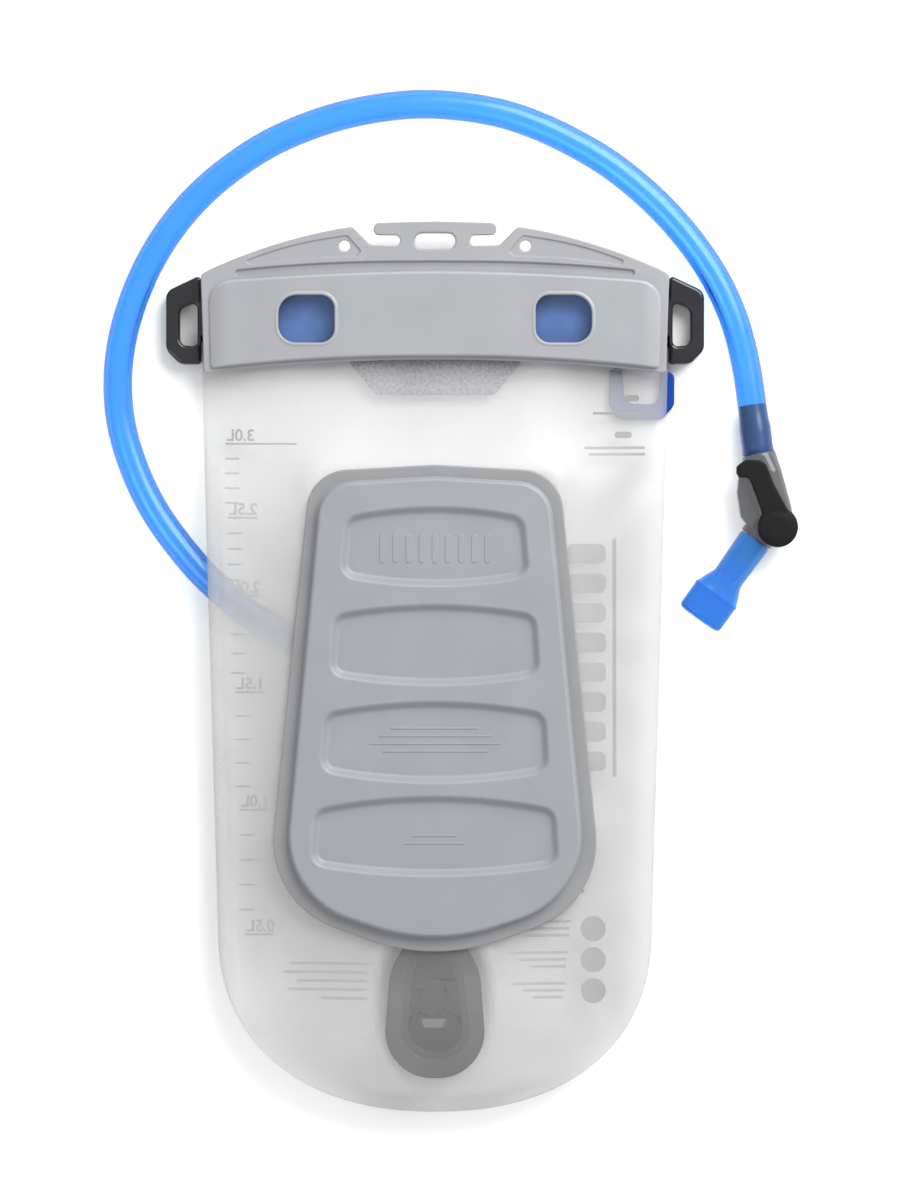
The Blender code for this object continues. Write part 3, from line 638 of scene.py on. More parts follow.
def absorbing(mat, colour, density):
    """Fills a see-through material with something that tints what is seen through it, but not the
    light that passes it."""
    nodes, links = mat.node_tree.nodes, mat.node_tree.links
    inside = nodes.new("ShaderNodeVolumeAbsorption")
    socket(inside, "Color", colour)
    socket(inside, "Density", density)
    last = but_for_soft_rays(nodes, links, inside.outputs[0])
    links.new(last, nodes["Material Output"].inputs["Volume"])
    return mat


HEADER_GREY = plastic("header_grey", (0.275, 0.278, 0.296), 0.42, 0.03)
# painted highlight: a lighter grey for the side of the header's pad and the lips of its windows
LIP_HIGHLIGHT_GREY = plastic("lip_painted_highlight", (0.300, 0.304, 0.322), 0.38, 0.03)
# painted shade: a darker grey for the walls and floor of the header's groove
GROOVE_SHADE_GREY = plastic("groove_painted_shade", (0.235, 0.237, 0.258), 0.5, 0.03)
PLATE_GREY = plastic("plate_grey", (0.240, 0.253, 0.268), 0.45, 0.03)
FLANGE_GREY = plastic("flange_grey", (0.222, 0.224, 0.231), 0.5, 0.04)
GLOSS_BLACK = plastic("gloss_black", (0.008, 0.008, 0.010), 0.2, 0.2, Specular_IOR_Level=0.4,
                      Coat_Weight=0.3, Coat_Roughness=0.1)
ZIP_BLUE = plastic("zip_blue", (0.06, 0.13, 0.33), 0.35, 0.2, patch=60, Coat_Weight=0.15)
PORT_SMOKE = plastic("port_smoke", (0.10, 0.10, 0.11), 0.4, 0.12)
PORT_OUTER = plastic("port_outer", (0.062, 0.062, 0.062), 0.5, 0.06)
PORT_MIDDLE = plastic("port_middle", (0.038, 0.038, 0.038), 0.5, 0.06)
PORT_INNER = plastic("port_inner", (0.014, 0.014, 0.014), 0.5, 0.06)
PORT_PALE = plastic("port_pale", (0.12, 0.12, 0.12), 0.4, 0.1)
LEVER_DARK = plastic("lever_dark", (0.006, 0.006, 0.0065), 0.55, 0.15, bump=0.25, grain=1400,
                     Specular_IOR_Level=0.15)
PULL_BLUE = plastic("pull_blue", (0.001, 0.04, 0.25), 0.4, 0.08, Specular_IOR_Level=0.15)
SEAL_BLACK = plastic("seal_black", (0.02, 0.02, 0.02), 0.55, 0.2)
STEEL = plastic("steel", (0.56, 0.56, 0.57), 0.28, 0.06, Metallic=1.0)
TAB_GREY = plastic("tab_grey", (0.095, 0.108, 0.155), 0.7, 0.1, speckle=0.9,
                   Specular_IOR_Level=0.2)
INK = plastic("ink_grey", (0.045, 0.045, 0.052), 0.6, 0.12)
TUBE_BLUE = absorbing(
    plastic("tube_blue", (0.5, 0.8, 1.0), 0.22, 0.02, rough_spread=0.03, grain=700, bump=0.02,
            Transmission_Weight=0.97, IOR=1.40, Specular_IOR_Level=0.25, lamp=(0.88, 0.95, 1.0)),
    (0.03, 0.60, 0.93), 470)
BITE_BLUE = absorbing(
    plastic("bite_blue", (0.05, 0.26, 0.66), 0.2, 0.04, rough_spread=0.04,
            Transmission_Weight=0.65, IOR=1.40, Specular_IOR_Level=0.5, lamp=(0.8, 0.9, 1.0)),
    (0.02, 0.62, 0.90), 150)
SMOKE = absorbing(
    plastic("smoke_clear", (0.26, 0.26, 0.265), 0.13, 0.04, rough_spread=0.04,
            Transmission_Weight=0.85, IOR=1.45, lamp=(0.7, 0.7, 0.72)),
    (0.45, 0.45, 0.46), 60)
BARB_GREY = plastic("barb_grey", (0.03, 0.06, 0.13), 0.5, 0.06, Specular_IOR_Level=0.2)


ZIP_CLEARS = (90, 114)  # Y over which the film turns to its haze at the zip
PORT_MID_Y = -155
PORT_SQUASH = 0.6  # the clear patch over the port is longer than wide
PORT_CLEARS = (24, 40)  # distance from the port over which the patch ends
LOW_PAINTED_SHADE = (-150, -205)  # Y over which the bottom turns grey, a painted shade
RIGHT_PAINTED_SHADE, RIGHT_MOST = (45, 88), 0.85  # painted shade on the right: X over which it grows, and its share
WELD_PAINTED_SHADE, WELD_MOST = 9, 0.8  # painted shade along the weld: distance from the weld's edge, and its share


def film_material(name, haze, haze_at_zip, haze_at_port):
    """Frosted film. Its haze is that of its middle, of its end at the zip and of a patch over the
    port, and a painted shade makes it greyer at the bottom, on the right and along its weld."""
    mat = plastic(name, (0.70, 0.70, 0.70), 0.35, 0.02, rough_spread=0.05, patch=25, grain=900,
                  bump=0.1, grain_depth=0.0001)
    nodes, links = mat.node_tree.nodes, mat.node_tree.links
    shader = nodes["Principled BSDF"]
    place = nodes.new("ShaderNodeSeparateXYZ")
    links.new(nodes.new("ShaderNodeTexCoord").outputs["Object"], place.inputs[0])
    x, y = place.outputs["X"], place.outputs["Y"]

    def eased(value, low, high, start, end):
        return ranged(nodes, links, value, low, high, start * MM, end * MM)

    def step(operation, *values):
        return calculated(nodes, links, operation, *values)

    alpha = eased(y, haze, haze_at_zip, *ZIP_CLEARS)
    away = step("MULTIPLY_ADD", y, PORT_SQUASH, PORT_SQUASH * -PORT_MID_Y * MM)
    squared = step("MULTIPLY_ADD", away, away, step("MULTIPLY", x, x))
    near = ranged(nodes, links, squared, haze_at_port, 1.0, *[(r * MM) ** 2 for r in PORT_CLEARS])
    links.new(step("MINIMUM", alpha, near), shader.inputs["Alpha"])

    # Painted shade: the colour turns to a darker grey along the weld, on the right and at the
    # bottom.
    taper = (BAG_HALF_TOP - BAG_HALF_BEND) / (BAG_TOP_Y - BAG_BEND_Y)
    weld = BAG_HALF_BEND - taper * BAG_BEND_Y
    out = step("MULTIPLY_ADD", y, -taper, step("ABSOLUTE", x))
    side = eased(out, 0, WELD_MOST, weld - WELD_PAINTED_SHADE, weld)
    side = step("MAXIMUM", side, eased(x, 0, RIGHT_MOST, *RIGHT_PAINTED_SHADE))
    shade = step("MAXIMUM", eased(y, 0, 1, *LOW_PAINTED_SHADE), side)
    white = shader.inputs["Base Color"].links[0].from_socket
    grey = mixed(nodes, links, shade, white, (0.48, 0.48, 0.48, 1))
    links.new(grey, shader.inputs["Base Color"])
    return mat


FRONT_FILM = film_material("film_milky", 0.10, 0.10, 0.10)
BACK_FILM = film_material("film_frosted", 0.34, 0.18, 0.10)


# The bag's two films

ACROSS, DOWN, DOWN_ROUND = 55, 68, 24  # columns, straight rows and round rows of the films' grid
SETTLING = 4000  # rounds in which a film settles
FRONT_PUSH, BACK_PUSH = -0.35, 0.12  # how far each round moves it, on a grid 15 columns wide
FLOOR_Z, TUBE_COVER_Z, PORT_COVER_Z = 0.8, 16.2, 18.4  # the front film's lowest heights
FRONT_ZIP_Z, BACK_ZIP_Z = 6.3, 8.6  # the films' heights in the zip
TUBE_EASE, PORT_EASE = 20, 15  # distance from tube and port at which a hump is half gone
PLUG_TRAVEL = 22  # how far the tube moves with its plug
PLATE_SPAN = (-131, 92)  # Y where the back film is welded under the plate
APART = 1.6  # least distance between the films, away from the weld
OVER_PORT = 1.4  # what the flange inside the port adds to it
PUCKER_REACH = 7  # distance from the weld at which the puckers are highest


def bag_half(y):
    """Half the bag's width on its straight sides."""
    share = np.clip((y - BAG_BEND_Y) / (BAG_TOP_Y - BAG_BEND_Y), 0, 1)
    return BAG_HALF_BEND + (BAG_HALF_TOP - BAG_HALF_BEND) * share


def spread_out(count, half, edge):
    """Even positions from -1 to 1, with one more step at each end as wide as the weld."""
    inner = np.linspace(-1 + edge / half, 1 - edge / half, count)
    return np.concatenate(([-1.0], inner, [1.0]))


def bag_grid():
    """Places of the films' grid: straight rows, then rows that bend round the bottom."""
    u = spread_out(ACROSS, BAG_HALF_BEND, RIM)
    rows = []
    for y in np.linspace(BAG_TOP_Y, BAG_BEND_Y, DOWN):
        rows.append([(a * bag_half(y), y) for a in u])
    depth = BAG_BEND_Y - BAG_END_Y
    steps = np.append(np.linspace(0, 1 - RIM / depth, DOWN_ROUND + 1)[1:], 1.0)
    for t in steps:
        row = []
        for a in u:
            x, y = a * math.sqrt(1 - t * t / 2), t * math.sqrt(1 - a * a / 2)
            size = math.hypot(x, y)
            fuller = 1.0
            if size > 0:
                power = (abs(x / size) ** BAG_ROUND + y / size * (y / size) ** (BAG_ROUND - 1))
                fuller = 1 + (power ** (-1 / BAG_ROUND) - 1) * size ** 2
            row.append((x * fuller * BAG_HALF_BEND, BAG_BEND_Y - y * fuller * depth))
        rows.append(row)
    return np.array(rows)


def settle(z, fixed, low, high, push):
    """Stretch a film like a membrane between its fixed points, low and high limits."""
    for _ in range(SETTLING):
        middle = (z[:-2, 1:-1] + z[2:, 1:-1] + z[1:-1, :-2] + z[1:-1, 2:]) / 4 + push
        middle = np.clip(middle, low[1:-1, 1:-1], high[1:-1, 1:-1])
        z[1:-1, 1:-1] = np.where(fixed[1:-1, 1:-1], z[1:-1, 1:-1], middle)
    return z


def rim_height(y):
    """Height of the weld, which rises from the zip to the sides."""
    t = np.clip((y - 68) / (134 - 68), 0, 1)
    return RIM_Z + (RIM_Z_TOP - RIM_Z) * t * t * (3 - 2 * t)


def on_rim(shape):
    """Marks the grid's weld: the two outer lines on each side and at the bottom."""
    mask = np.zeros(shape, dtype=bool)
    mask[:, :2] = mask[:, -2:] = True
    mask[-2:, :] = True
    return mask


def tube_lane(x, y):
    """Distance from a place to the tube, wherever the plug's travel takes the tube."""
    best = np.full(x.shape, 1e9)
    for shift in np.linspace(0, PLUG_TRAVEL, 4):
        for p in smooth_path(TUBE_ROUTE[:12], 6):
            best = np.minimum(best, np.hypot(x - p.x, y - p.y - shift))
    return best


def port_side(x, y):
    """Distance from a place to the port."""
    return np.hypot(np.maximum(abs(x) - 25, 0), np.maximum(np.maximum(y + 116, -191 - y), 0))


def hump(height, distance, ease):
    """A height that dies out away from the thing that lifts the film."""
    return height / (1 + (distance / ease) ** 4)


def front_limits(x, y):
    """Lowest heights of the front film: the floor, the tube and port under the bag, and the zip."""
    low = np.full(x.shape, FLOOR_Z)
    low = np.maximum(low, hump(TUBE_COVER_Z, tube_lane(x, y), TUBE_EASE))
    low = np.maximum(low, hump(PORT_COVER_Z, port_side(x, y), PORT_EASE))
    return np.where(y > 108, np.maximum(low, FRONT_ZIP_Z), low)


def plate_half(y):
    """Half the back plate's width, roughly, where the film is flat under it."""
    side = 59.1 + 0.102 * (69.2 - y)
    return np.where(y < -82, np.maximum(side - (-82 - y) * 1.25, 0), side)


def grid_mesh(name, z):
    rows, columns = z.shape
    bm = bmesh.new()
    points = zip(PLACES.reshape(-1, 2), z.ravel())
    verts = [bm.verts.new((x * MM, y * MM, height * MM)) for (x, y), height in points]
    for i in range(rows - 1):
        for j in range(columns - 1):
            k = i * columns + j
            bm.faces.new((verts[k], verts[k + 1], verts[k + columns + 1], verts[k + columns]))
    return mesh_object(name, bm)


def puckers(places, held):
    """Small waves that run in from the weld and die out, as a welded pouch's film has them."""
    x, y = places[..., 0], places[..., 1]
    waves = np.zeros(x.shape)
    edge = np.argwhere(held)
    spots = places[edge[:, 0], edge[:, 1]]
    for i in range(x.shape[0]):
        for j in range(x.shape[1]):
            near = np.min(np.hypot(spots[:, 0] - x[i, j], spots[:, 1] - y[i, j]))
            place = Vector((x[i, j], y[i, j], 0))
            turn = math.atan2(y[i, j] - 10, x[i, j]) * 18 + 3 * noise.noise(place / 40)
            fade = near / PUCKER_REACH * math.exp(1 - near / PUCKER_REACH)
            waves[i, j] = fade * (0.7 * math.sin(turn) + 0.5 * noise.noise(place / 17))
            slow = Vector((x[i, j] / 30, y[i, j] / 75, 7))
            waves[i, j] += min(near / 20, 1) * 1.1 * noise.noise(slow)
    return waves


def film_heights():
    """Places of the films' grid, and the settled heights of the front and the back film."""
    places = bag_grid()
    x, y = places[..., 0], places[..., 1]
    rim = on_rim(x.shape)
    weld = rim_height(y)
    held = rim.copy()
    held[0, :] = True
    half_gap = (FILM + FILM_GAP) / 2
    at_zip = np.clip((BAG_HALF_TOP - RIM - abs(x)) / 8, 0, 1)
    finer = (15 / ACROSS) ** 2

    front = np.where(rim, weld - half_gap, 6.0)
    front[0] = weld[0] - half_gap + (FRONT_ZIP_Z - weld[0] + half_gap) * at_zip[0]
    far = np.full(x.shape, 99.0)
    front = settle(front, held, front_limits(x, y), far, FRONT_PUSH * finer)

    back = np.where(rim, weld + half_gap, 20.0)
    back[0] = weld[0] + half_gap + (BACK_ZIP_Z - weld[0] - half_gap) * at_zip[0]
    under = PLATE_LOW.z - FILM_GAP - FILM / 2
    plate = (abs(x) < plate_half(y)) & (y < PLATE_SPAN[1]) & (y > PLATE_SPAN[0])
    back = np.where(plate, under, back)
    roof = np.where(y > 130, HEADER_LOW.z - 0.8, under)
    floor = front + APART + hump(OVER_PORT, port_side(x, y), PORT_EASE)
    back = settle(back, held | plate, np.where(rim, 0, floor), roof, BACK_PUSH * finer)

    waves = puckers(places, held)
    back = back + np.where(held | plate, 0, waves)
    front = front + np.where(held, 0, np.maximum(waves, 0) * 0.5)
    floor = front + APART + hump(OVER_PORT, port_side(x, y), PORT_EASE)
    back = np.where(held, back, np.minimum(np.maximum(back, floor), roof))
    return places, front, back


PLACES, FRONT_Z, BACK_Z = film_heights()


def film_piece(node, z, mat):
    obj = grid_mesh(node + "_soft", z)
    thick = obj.modifiers.new("film", "SOLIDIFY")
    thick.thickness = FILM * MM
    thick.offset = 0
    return finished(obj, mat, "reservoir", "film", node, smooth=0)


def front_tree():
    """The front film's surface, to lay the print on."""
    obj = grid_mesh("front_rest", FRONT_Z)
    mesh = obj.data
    faces = [p.vertices for p in mesh.polygons]
    tree = BVHTree.FromPolygons([v.co for v in mesh.vertices], faces)
    bpy.data.objects.remove(obj, do_unlink=True)
    return tree


# Header

def sided(corners, sign, steps=8):
    """An outline on the right (1) or the left (-1)."""
    return rounded([(sign * x, y, r) for x, y, r in corners], steps)


def header():
    """The panel over the zip: hang bar and hooks, eyelets, groove, and a pad with two windows."""
    top = [(0, 205.2, 0), (28.4, 204.5, 2.8), (28.4, 198.8, 2.6), (16.2, 198.7, 2.2)]
    top += [(16.2, 193.8, 2.2), (29.7, 194.2, 3), (38.0, 202.8, 3)]
    top += bow((46.0, 201.5), (103.5, 183.2), 1.8)
    edge = top + [(103.5, 183.2, 0), (108.0, 180.6, 2), (106.5, 134.8, 2)]
    edge += bow((102.0, 135.6), (0, 141.5), -1.5) + [(0, 141.5, 0)]
    low, flat, high = HEADER_LOW.z, SHEET_Z, HEADER_HIGH.z

    slot = rounded([(9.3, 199.6, 3.4), (9.3, 192.5, 3.4), (-9.3, 192.5, 3.4), (-9.3, 199.6, 3.4)])
    features = [feature(slot, hole_wall(flat, low, 0.0, 0.9), through=True)]
    for sign in (-1, 1):
        eyelet = bar_outline((sign * 41.7, 193.8), 5.31, 5.3)
        dip = [(33.6, 191.4, 1.0), (40.4, 199.0, 2)] + bow((46.5, 198.0), (88.0, 186.9), 1.4)
        dip += [(88.0, 186.9, 1.0), (85.6, 184.9, 1.0), (60.0, 188.0, 0), (36.0, 188.9, 1.0)]
        hole = feature(eyelet, hole_wall(flat - 0.7, low, 0.0, 0.4), through=True)
        wall = soft_wall(flat, flat - 0.7, 0.6, 4)
        features.append(feature(sided(dip, sign, 4), wall, inner=[hole]))

    groove = [(0, 187.2, 0)] + bow((10, 187.1), (93.0, 182.9), 1.2, 8)
    groove += [(93.0, 182.9, 1.6), (91.8, 179.7, 1.6)]
    groove += list(reversed(bow((10, 183.3), (91.8, 179.7), 0.8, 8)))
    wall = soft_wall(flat, flat - 1.1, 1.05, 5)
    # tint 2 gives the groove's walls and floor the darker grey, a painted shade
    features.append(feature(both_sides(groove), wall, tint=2))

    pad = bow((0, 182.2), (92, 178.2), 0.8)
    pad += [(92, 178.3, 0), (104.4, 176.4, 10), (103.4, 137.2, 1.8)]
    pad += bow((99.0, 137.8), (0, 142.9), -1.5) + [(0, 142.9, 0)]
    windows = []
    for sign in (-1, 1):
        window = [(46.3, 171.1, 6.5), (72.2, 171.1, 8.5), (72.2, 149.1, 8), (46.3, 149.1, 6.5)]
        wall = hole_wall(high, low, 1.1, 0.5)
        # tint 1 gives the windows' lips and walls the lighter grey, a painted highlight
        windows.append(feature(sided(window, sign), wall, through=True, tint=1))
    raised = step_up(flat, high, 0.1, 1.3)
    # rim 1 gives the pad's side the lighter grey, a painted highlight along its edges
    features.append(feature(both_sides(pad), raised, inner=windows, rim=1))
    side = edge_round(0.6, low, flat)
    panel = moulded("header_moulding", both_sides(edge), side, features)

    # Towards its ends, from bend and over reach, the pad loses a share of its height.
    bend, reach, drop = 95.0, 9.5, 0.85
    sliced(panel, 0, [s * (bend + i * 0.8) for s in (-1, 1) for i in range(14)])
    sliced(panel, 1, [146, 152, 158, 164, 170, 176])

    def curl(x, y, z):
        t = min(max((abs(x) - bend) / reach, 0), 1)
        if z > flat + 0.01:
            z = flat + (z - flat) * (1 - drop * t * t)
        return x, y, z

    # the lighter grey is a painted highlight and the darker one a painted shade
    tints = [HEADER_GREY, LIP_HIGHLIGHT_GREY, GROOVE_SHADE_GREY]
    finished(moved(panel, curl), tints, "reservoir", "header", "header_panel", smooth=50)


# Back plate

def back_plate():
    """A flange, a raised shell on it, and four arched recesses with unreadable raised marks."""
    flange = [(0, 92.4, 0), (56.9, 89.2, 19), (77.0, -108.0, 42), (0, -135.7, 90)]
    dome = [(0, 86.4, 0), (51.8, 83.4, 16), (69.2, -105.0, 40), (0, -127.6, 90)]
    flange, dome = [both_sides(shape, 14) for shape in (flange, dome)]
    low, flat, high = PLATE_LOW.z, FLANGE_Z, PLATE_HIGH.z
    recess = high - 2.8
    panels = (  # top and bottom (middle, ends), half widths there
        ((73.8, 69.2), (36.1, 40.7), 41.6, 44.2),
        ((29.2, 24.6), (-9.0, -4.4), 47.2, 49.0),
        ((-15.0, -20.2), (-53.6, -48.3), 51.5, 53.1),
        ((-58.2, -64.2), (-96.1, -91.0), 55.9, 57.7),
    )
    rows = ((-28, 40), (-31.5, 52), (-35, 60), (-38.5, 48)), ((-77, 20), (-80.5, 28))
    marks = [[bar_outline((x, 54.0), 13.0, 2.6, math.radians(90)) for x in range(-24, 25, 6)], []]
    marks += [[bar_outline((0, y), long, 0.7) for y, long in lines] for lines in rows]
    pockets = []
    for panel, lines in zip(panels, marks):
        outline = arched(*panel, 8)
        wall = step_up(recess, recess + 0.25, 0.1, 0.15, 2)
        raised = [feature(line, wall, tint=1) for line in lines]
        pockets.append(feature(outline, soft_wall(high, recess, 4.2, 10), inner=raised, tint=1))
    shell = feature(dome, step_up(flat, high, 0.8, 1.5, 6), inner=pockets, tint=1)
    plate = moulded("back_plate_moulding", flange, edge_round(0.7, low, flat), [shell])
    finished(plate, [FLANGE_GREY, PLATE_GREY], "reservoir", "plate", "back_plate", smooth=50)


# Zip, loops and pull

def zip_strips():
    """Two strips, pressed together. The back one shows through the header's windows."""
    for name in ("zip_strip_back", "zip_strip_front"):
        low, high = span(name)
        upper = name == "zip_strip_back"
        thick = (low.z + 0.9, high.z + 0.4) if upper else (low.z, low.z + 2.0)
        ends = ((high.x, high.y), (high.x, low.y), (low.x, low.y), (low.x, high.y))
        outline = rounded([(*end, 2) for end in ends], 4)
        side = edge_round(0.8 if upper else 0.4, *thick, 3)
        strip = moulded(name + "_moulding", outline, side)
        sliced(strip, 0, range(-100, 101, 4))
        sliced(strip, 1, range(150, 173, 3))

        def wavy(x, y, z):
            return x, y, z + (0.35 * noise.noise(Vector((x, y * 2, 3)) / 14) if z > high.z else 0)

        finished(moved(strip, wavy) if upper else strip, ZIP_BLUE, "reservoir", "zip", name)


def end_loop(name, sign):
    """A strap loop on the header's end, with a rounded slot."""
    outer = [
        (108.0, 181.2, 1.9), (124.5, 173.4, 5.5), (124.5, 146.2, 6.5), (118.0, 139.6, 6),
        (108.0, 139.6, 1.9), (108.0, 151.0, 0), (103.8, 151.0, 1.9), (103.8, 170.0, 1.9),
        (108.0, 170.0, 0),
    ]
    hole = [(109.9, 168.6, 2.2), (118.0, 165.2, 3.4), (118.0, 148.4, 3.4), (109.9, 147.9, 2.2)]
    low, high = LOOP_LOW.z, LOOP_HIGH.z
    edge = 1.5  # round of the slot's mouth
    mouth = [(-edge * (1 - s), high - edge * (1 - c)) for s, c in quarter(4)]
    mouth += [(-edge * (1 - s), low + edge * (1 - c)) for s, c in reversed(quarter(4))]
    mouth = [(-edge - 0.2, high)] + mouth + [(-edge - 0.2, low)]
    slot = feature(sided(hole, sign), mouth, through=True)
    loop = moulded(name + "_moulding", sided(outer, sign), edge_round(1.7, low, high, 5), [slot])
    finished(loop, GLOSS_BLACK, "reservoir", "gloss_black", name, smooth=60)


def zip_pull():
    top, bottom = PULL_HIGH.y, PULL_LOW.y
    outer = [(80.8, top, 1.0), (86.6, top, 1.0), (88.0, 121.6, 5), (103.2, 121.2, 4)]
    outer += [(104.6, top, 1.0), (110.9, top - 2, 3), (110.9, bottom + 7, 5)]
    outer += [(105.0, bottom, 6), (84.0, bottom, 6), (80.4, bottom + 8, 4)]
    side = edge_round(1.3, PULL_LOW.z, PULL_HIGH.z, 5)
    handle = moulded("pull_handle_moulding", rounded(outer, 8), side)
    finished(handle, PULL_BLUE, "pull", "silicone", "pull_handle", smooth=60)


def grip_tab():
    tab = both_sides([(40.0, TAB_HIGH.y, 1), (40.0, 141.0, 4), (27.5, TAB_LOW.y, 6)], 8)
    tab = moulded("grip_tab_moulding", tab, edge_round(0.5, TAB_LOW.z, TAB_HIGH.z, 3))
    finished(tab, TAB_GREY, "reservoir", "port", "grip_tab")


# Port

def port_flange():
    """The port's stepped flange inside the bag, over the front film, with two channels."""
    low, high = PORT_TOP + 1.4, PORT_TOP + 3.4

    def drop(top, half, neck, belly, bottom, steps):
        corners = [(0, top, 0), (half[0], top, half[1]), neck, belly, (0, bottom, 0)]
        return both_sides(corners, steps)

    outer = drop(-121.0, (9.5, 3), (20.6, -139.5, 28), (24.6, -189.4, 21.5), -189.4, 12)
    middle = drop(-128.0, (9.0, 4), (13.4, -142.0, 20), (17.0, -181.0, 14), -181.0, 10)
    inner = drop(-134.0, (7.5, 4), (10.4, -146.0, 20), (14.0, -177.6, 11.5), -177.6, 10)
    channels = [bar_outline((-6.7, -154.6), 2.9, 12.8), bar_outline((4.8, -152.2), 2.9, 17.6)]
    wall = soft_wall(high - 0.6, high - 1.1, 0.5, 3)
    parts = [feature(line, wall, tint=2) for line in channels]
    slot = [(4.9, -162.2, 0.3), (3.6, -166.2, 0.6), (-5.2, -166.2, 0.6), (-6.4, -162.2, 0.3)]
    parts.append(feature(rounded(slot, 3), step_up(high - 0.6, high, 0.1, 0.4, 2), tint=3))
    core = feature(inner, soft_wall(high - 0.3, high - 0.6, 0.5, 3), inner=parts, tint=2)
    ring = feature(middle, soft_wall(high, high - 0.3, 0.5, 3), inner=[core], tint=1)
    flange = moulded("port_flange", outer, edge_round(0.7, low, high), [ring])
    tints = [PORT_OUTER, PORT_MIDDLE, PORT_INNER, PORT_PALE]
    finished(flange, tints, "reservoir", "port", smooth=50)


# Hose

def hose():
    """The hollow tube, a little wider over the valve's barb, and the barb in it."""
    spacing = 4
    path = smooth_path(TUBE_ROUTE, spacing)
    last = len(path) - 1
    reach = BARB_START / spacing

    def outer(i):
        t = min(max((i - (last - reach)) / 1.5, 0), 1)
        ripple = RIPPLE * math.sin(i * 2.4) if t == 1 else 0
        return TUBE_R + STRETCH * t * t * (3 - 2 * t) + ripple

    tube = pipe("drink_tube_hollow", path, outer, lambda i: TUBE_BORE, 48)
    finished(tube, TUBE_BLUE, "hose", "tube", "drink_tube", smooth=0)
    barb_path = smooth_path(TUBE_ROUTE[-3:], 1.0)[-24:]
    barb = pipe("inlet_barb", barb_path, lambda i: BARB_R, lambda i: BARB_BORE, 32)
    finished(barb, BARB_GREY, "hose", "smoke")
    return tube, barb, [p * MM for p in path]


# Shut-off valve and bite valve

def shutoff_body():
    """Inlet, round chamber, outlet collar and shoulder, fused into one smoky housing."""
    flow = (PIVOT - VALVE_TOP).normalized()
    length = (PIVOT - VALVE_TOP).length
    inlet = loft("shutoff_inlet", [
        (-1.9, 7.4, 7.4, 2.0), (-1.2, 7.9, 7.9, 2.0), (0.8, 8.0, 8.0, 2.2), (8.0, 8.6, 8.3, 2.8),
        (length - 8, 9.0, 8.4, 3.2), (length - 1, 8.4, 8.4, 2.6), (length + 2, 7.0, 7.4, 2.2)],
        VALVE_TOP, flow)
    low, high = BODY_LOW.z, BODY_HIGH.z
    chamber = turned("shutoff_chamber", [
        (0, high), (7.6, high), (8.6, high - 1.0), (8.6, low + 1.2), (7.4, low), (0, low)],
        (PIVOT.x, PIVOT.y, 0), UP)
    back = 9.4
    outlet = turned("shutoff_outlet", [
        (0, -back), (7.2, -back), (7.5, -2.6), (8.1, -2.4), (8.1, -0.4), (7.8, 0), (4.6, 0),
        (4.6, 11), (4.0, 12), (0, 12)],
        COLLAR, BITE_WAY)
    edge = [(151, 94.5, 1), (140.6, 93.0, 2.5), (139.4, 80, 5), (141.2, 68.6, 2)]
    edge = rounded(edge + [(147.6, 60.8, 1), (157, 60, 2), (157, 90, 2)], 4)
    shoulder = moulded("shutoff_shoulder", edge, edge_round(1.6, low + 2.6, high - 3.0, 3))
    body = fused("shutoff_housing", [inlet, chamber, outlet, shoulder], 0.45, 4)
    return finished(body, SMOKE, "hose", "smoke", "shutoff_body", smooth=0)


def shutoff_lever():
    """A disc on the valve's axis, and an arm with a thumb hook over the valve's side."""
    low, high = LEVER_HIGH.z - 3.4, LEVER_HIGH.z
    disc = turned("lever_disc", [
        (0, high), (5.0, high), (7.8, high - 0.4), (9.0, high - 1.2), (9.4, high - 2.2),
        (9.2, low), (0, low)],
        (PIVOT.x, PIVOT.y, 0), UP, 64)
    arm = [(148.2, 59.8, 2.5), (150.4, 71.0, 6), (144.3, 87.4, 3), (139.4, 86.6, 1.5)]
    arm += [(138.6, 92.2, 3), (143.0, 95.2, 3), (151.8, 94.8, 5), (156.0, 84.0, 8)]
    arm += [(162.8, 71.4, 2), (158.0, 62.0, 2)]
    arm = moulded("lever_arm", rounded(arm, 6), edge_round(0.8, low, high - 0.3, 3))
    hook = [(138.7, 88.0, 0.8), (138.8, 92.2, 1), (141.0, 93.4, 0.8), (141.2, 88.6, 0.8)]
    hook = moulded("lever_hook", rounded(hook, 4), edge_round(0.3, LEVER_LOW.z, low + 1.0, 2))
    lever = fused("lever_moulding", [disc, arm, hook], 0.32, 4)
    return finished(lever, LEVER_DARK, "lever", "lever", "shutoff_lever", "lever_screw", smooth=0)


